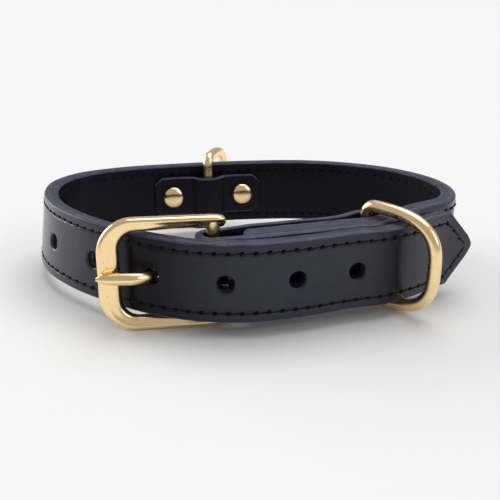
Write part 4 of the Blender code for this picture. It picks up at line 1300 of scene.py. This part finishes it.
def build_rivets():
    plan = collar_plan()
    grip = OUTER_PLY + 2 * PLY_GAP + LINING_PLY + TAB_PLY
    for name, side in (("rivet_left", -1), ("rivet_right", 1)):
        s = TAB_FROM_TIP + side * RIVET_SPREAD / 2
        point, _, inward = plan.cad.at(s)
        lean = plan.cad.column("lean", s)
        square = Vector((inward[0] * math.cos(lean), inward[1] * math.cos(lean), -math.sin(lean)))
        turn = square.to_track_quat("Z", "Y").to_matrix().to_4x4()
        place = Matrix.Translation((*point, plan.middle)) @ turn
        head = RIVET_DIAMETER / 2
        cap = RIVET_CAP_DIAMETER / 2
        shank = RIVET_SHANK / 2
        profile = [(0.0, -RIVET_CAP - CLEARANCE), (cap * 0.6, -RIVET_CAP - 0.25 * MM),
                   (cap * 0.86, -RIVET_CAP),
                   (cap * 0.97, -RIVET_CAP * 0.66), (cap, -RIVET_CAP * 0.35), (cap * 0.97, -0.06 * MM),
                   (shank, 0.0), (shank, grip), (head * 0.96, grip + 0.02 * MM), (head, grip + 0.2 * MM)]
        for i in range(1, 11):
            angle = math.pi / 2 * i / 10
            radius = head * math.cos(angle) ** 0.85 if i < 10 else 0.0
            profile.append((radius, grip + 0.3 * MM + (RIVET_DOME - 0.1 * MM) * math.sin(angle)))
        steps = 40
        verts, faces = [], []
        for k in range(steps):
            a = 2 * math.pi * k / steps
            verts += [tuple(place @ Vector((r * math.cos(a), r * math.sin(a), z))) for r, z in profile]
        count = len(profile)
        for k in range(steps):
            n = (k + 1) % steps
            for i in range(count - 1):
                faces.append((k * count + i, n * count + i, n * count + i + 1, k * count + i + 1))
        mesh = solid_mesh(name + "_dome", verts, faces, 45.0)
        mesh_object(name + "_dome", mesh, finish_for("cast"), nodes=(name,))


# Stage
WORLD_STRENGTH = 0.42
SUNS = (
    ("soft key above", (0.20, 0.30, 1.0), 1.55, 50.0),
    ("soft left", (-1.0, 0.55, 0.30), 1.60, 40.0),
    ("soft right", (0.9, -0.35, 0.6), 0.45, 40.0),
)


def build_stage():
    scene = bpy.context.scene
    camera = bpy.data.cameras.new("camera")
    camera.lens = 50.0
    camera.sensor_width = 36.0
    camera.clip_start = 0.01
    eye = bpy.data.objects.new("camera", camera)
    eye.location = CAMERA_AT
    eye.rotation_euler = (CAMERA_TO - CAMERA_AT).to_track_quat("-Z", "Y").to_euler()
    scene.collection.objects.link(eye)
    scene.camera = eye

    finish = Finish("pale_floor")
    speckle = finish.noise(finish.object_place(), 40.0, 2.0)
    tone = tuple(looks().floor)
    finish.set(Base_Color=finish.blend(speckle, tone, scaled(tone, 0.985)), Roughness=0.85)
    work = bmesh.new()
    bmesh.ops.create_grid(work, x_segments=2, y_segments=2, size=40.0)
    mesh = bpy.data.meshes.new("pale_floor")
    work.to_mesh(mesh)
    work.free()
    mesh.materials.append(finish.material)
    floor = bpy.data.objects.new("pale_floor", mesh)
    scene.collection.objects.link(floor)

    world = bpy.data.worlds.new("studio")
    world.use_nodes = True
    background = world.node_tree.nodes["Background"]
    background.inputs["Color"].default_value = (1.0, 1.0, 1.0, 1.0)
    background.inputs["Strength"].default_value = WORLD_STRENGTH
    scene.world = world
    scene.view_settings.view_transform = "Standard"
    for name, place, strength, spread in SUNS:
        sun = bpy.data.lights.new(name, "SUN")
        sun.energy = strength
        sun.angle = math.radians(spread)
        made = bpy.data.objects.new(name, sun)
        made.rotation_euler = Vector(place).to_track_quat("Z", "Y").to_euler()
        scene.collection.objects.link(made)


# Add-on classes
class COLLAR_OT_plies(bpy.types.Operator):
    """Make the strap's two plies with their holes, fold and return"""
    bl_idname = "collar.plies"
    bl_label = "Strap plies"

    def execute(self, context):
        build_outer_ply()
        build_lining_ply()
        return {"FINISHED"}


class COLLAR_OT_stitches(bpy.types.Operator):
    """Sew along both edges of the strap and round its tip"""
    bl_idname = "collar.stitches"
    bl_label = "Stitches"

    def execute(self, context):
        build_stitches()
        return {"FINISHED"}


class COLLAR_OT_buckle(bpy.types.Operator):
    """Make the half buckle with its heel bar"""
    bl_idname = "collar.buckle"
    bl_label = "Buckle"

    def execute(self, context):
        build_buckle()
        return {"FINISHED"}


class COLLAR_OT_prong(bpy.types.Operator):
    """Make the prong through its hole and over the front bar"""
    bl_idname = "collar.prong"
    bl_label = "Prong"

    def execute(self, context):
        build_prong()
        return {"FINISHED"}


class COLLAR_OT_rings(bpy.types.Operator):
    """Make the two D-rings"""
    bl_idname = "collar.rings"
    bl_label = "D-rings"

    def execute(self, context):
        build_rings()
        return {"FINISHED"}


class COLLAR_OT_tab(bpy.types.Operator):
    """Make the riveted tab over the rear ring's bar"""
    bl_idname = "collar.tab"
    bl_label = "Tab and rivets"

    def execute(self, context):
        build_tab()
        build_rivets()
        return {"FINISHED"}


class COLLAR_OT_stage(bpy.types.Operator):
    """Set up the camera, the pale floor and the soft lights"""
    bl_idname = "collar.stage"
    bl_label = "Stage"

    def execute(self, context):
        build_stage()
        return {"FINISHED"}


STEPS = (COLLAR_OT_stage, COLLAR_OT_plies, COLLAR_OT_stitches, COLLAR_OT_buckle, COLLAR_OT_prong,
         COLLAR_OT_rings, COLLAR_OT_tab)


class COLLAR_PT_panel(bpy.types.Panel):
    """Sizes, colours and the steps that make the collar"""
    bl_idname = "COLLAR_PT_panel"
    bl_label = "Leather dog collar"
    bl_space_type = "VIEW_3D"
    bl_region_type = "UI"
    bl_category = "Collar"

    def draw(self, context):
        for group in (context.scene.collar_sizes, context.scene.collar_colours):
            box = self.layout.box()
            for name in group.__annotations__:
                box.prop(group, name)
        for step in STEPS:
            self.layout.operator(step.bl_idname)


CLASSES = (CollarSizes, CollarColours) + STEPS + (COLLAR_PT_panel,)


def register():
    for cls in CLASSES:
        bpy.utils.register_class(cls)
    bpy.types.Scene.collar_sizes = PointerProperty(type=CollarSizes)
    bpy.types.Scene.collar_colours = PointerProperty(type=CollarColours)


def unregister():
    del bpy.types.Scene.collar_colours
    del bpy.types.Scene.collar_sizes
    for cls in reversed(CLASSES):
        bpy.utils.unregister_class(cls)


def main():
    register()
    bpy.ops.collar.stage()
    bpy.ops.collar.plies()
    bpy.ops.collar.stitches()
    bpy.ops.collar.buckle()
    bpy.ops.collar.prong()
    bpy.ops.collar.rings()
    bpy.ops.collar.tab()


if __name__ == "__main__":
    main()
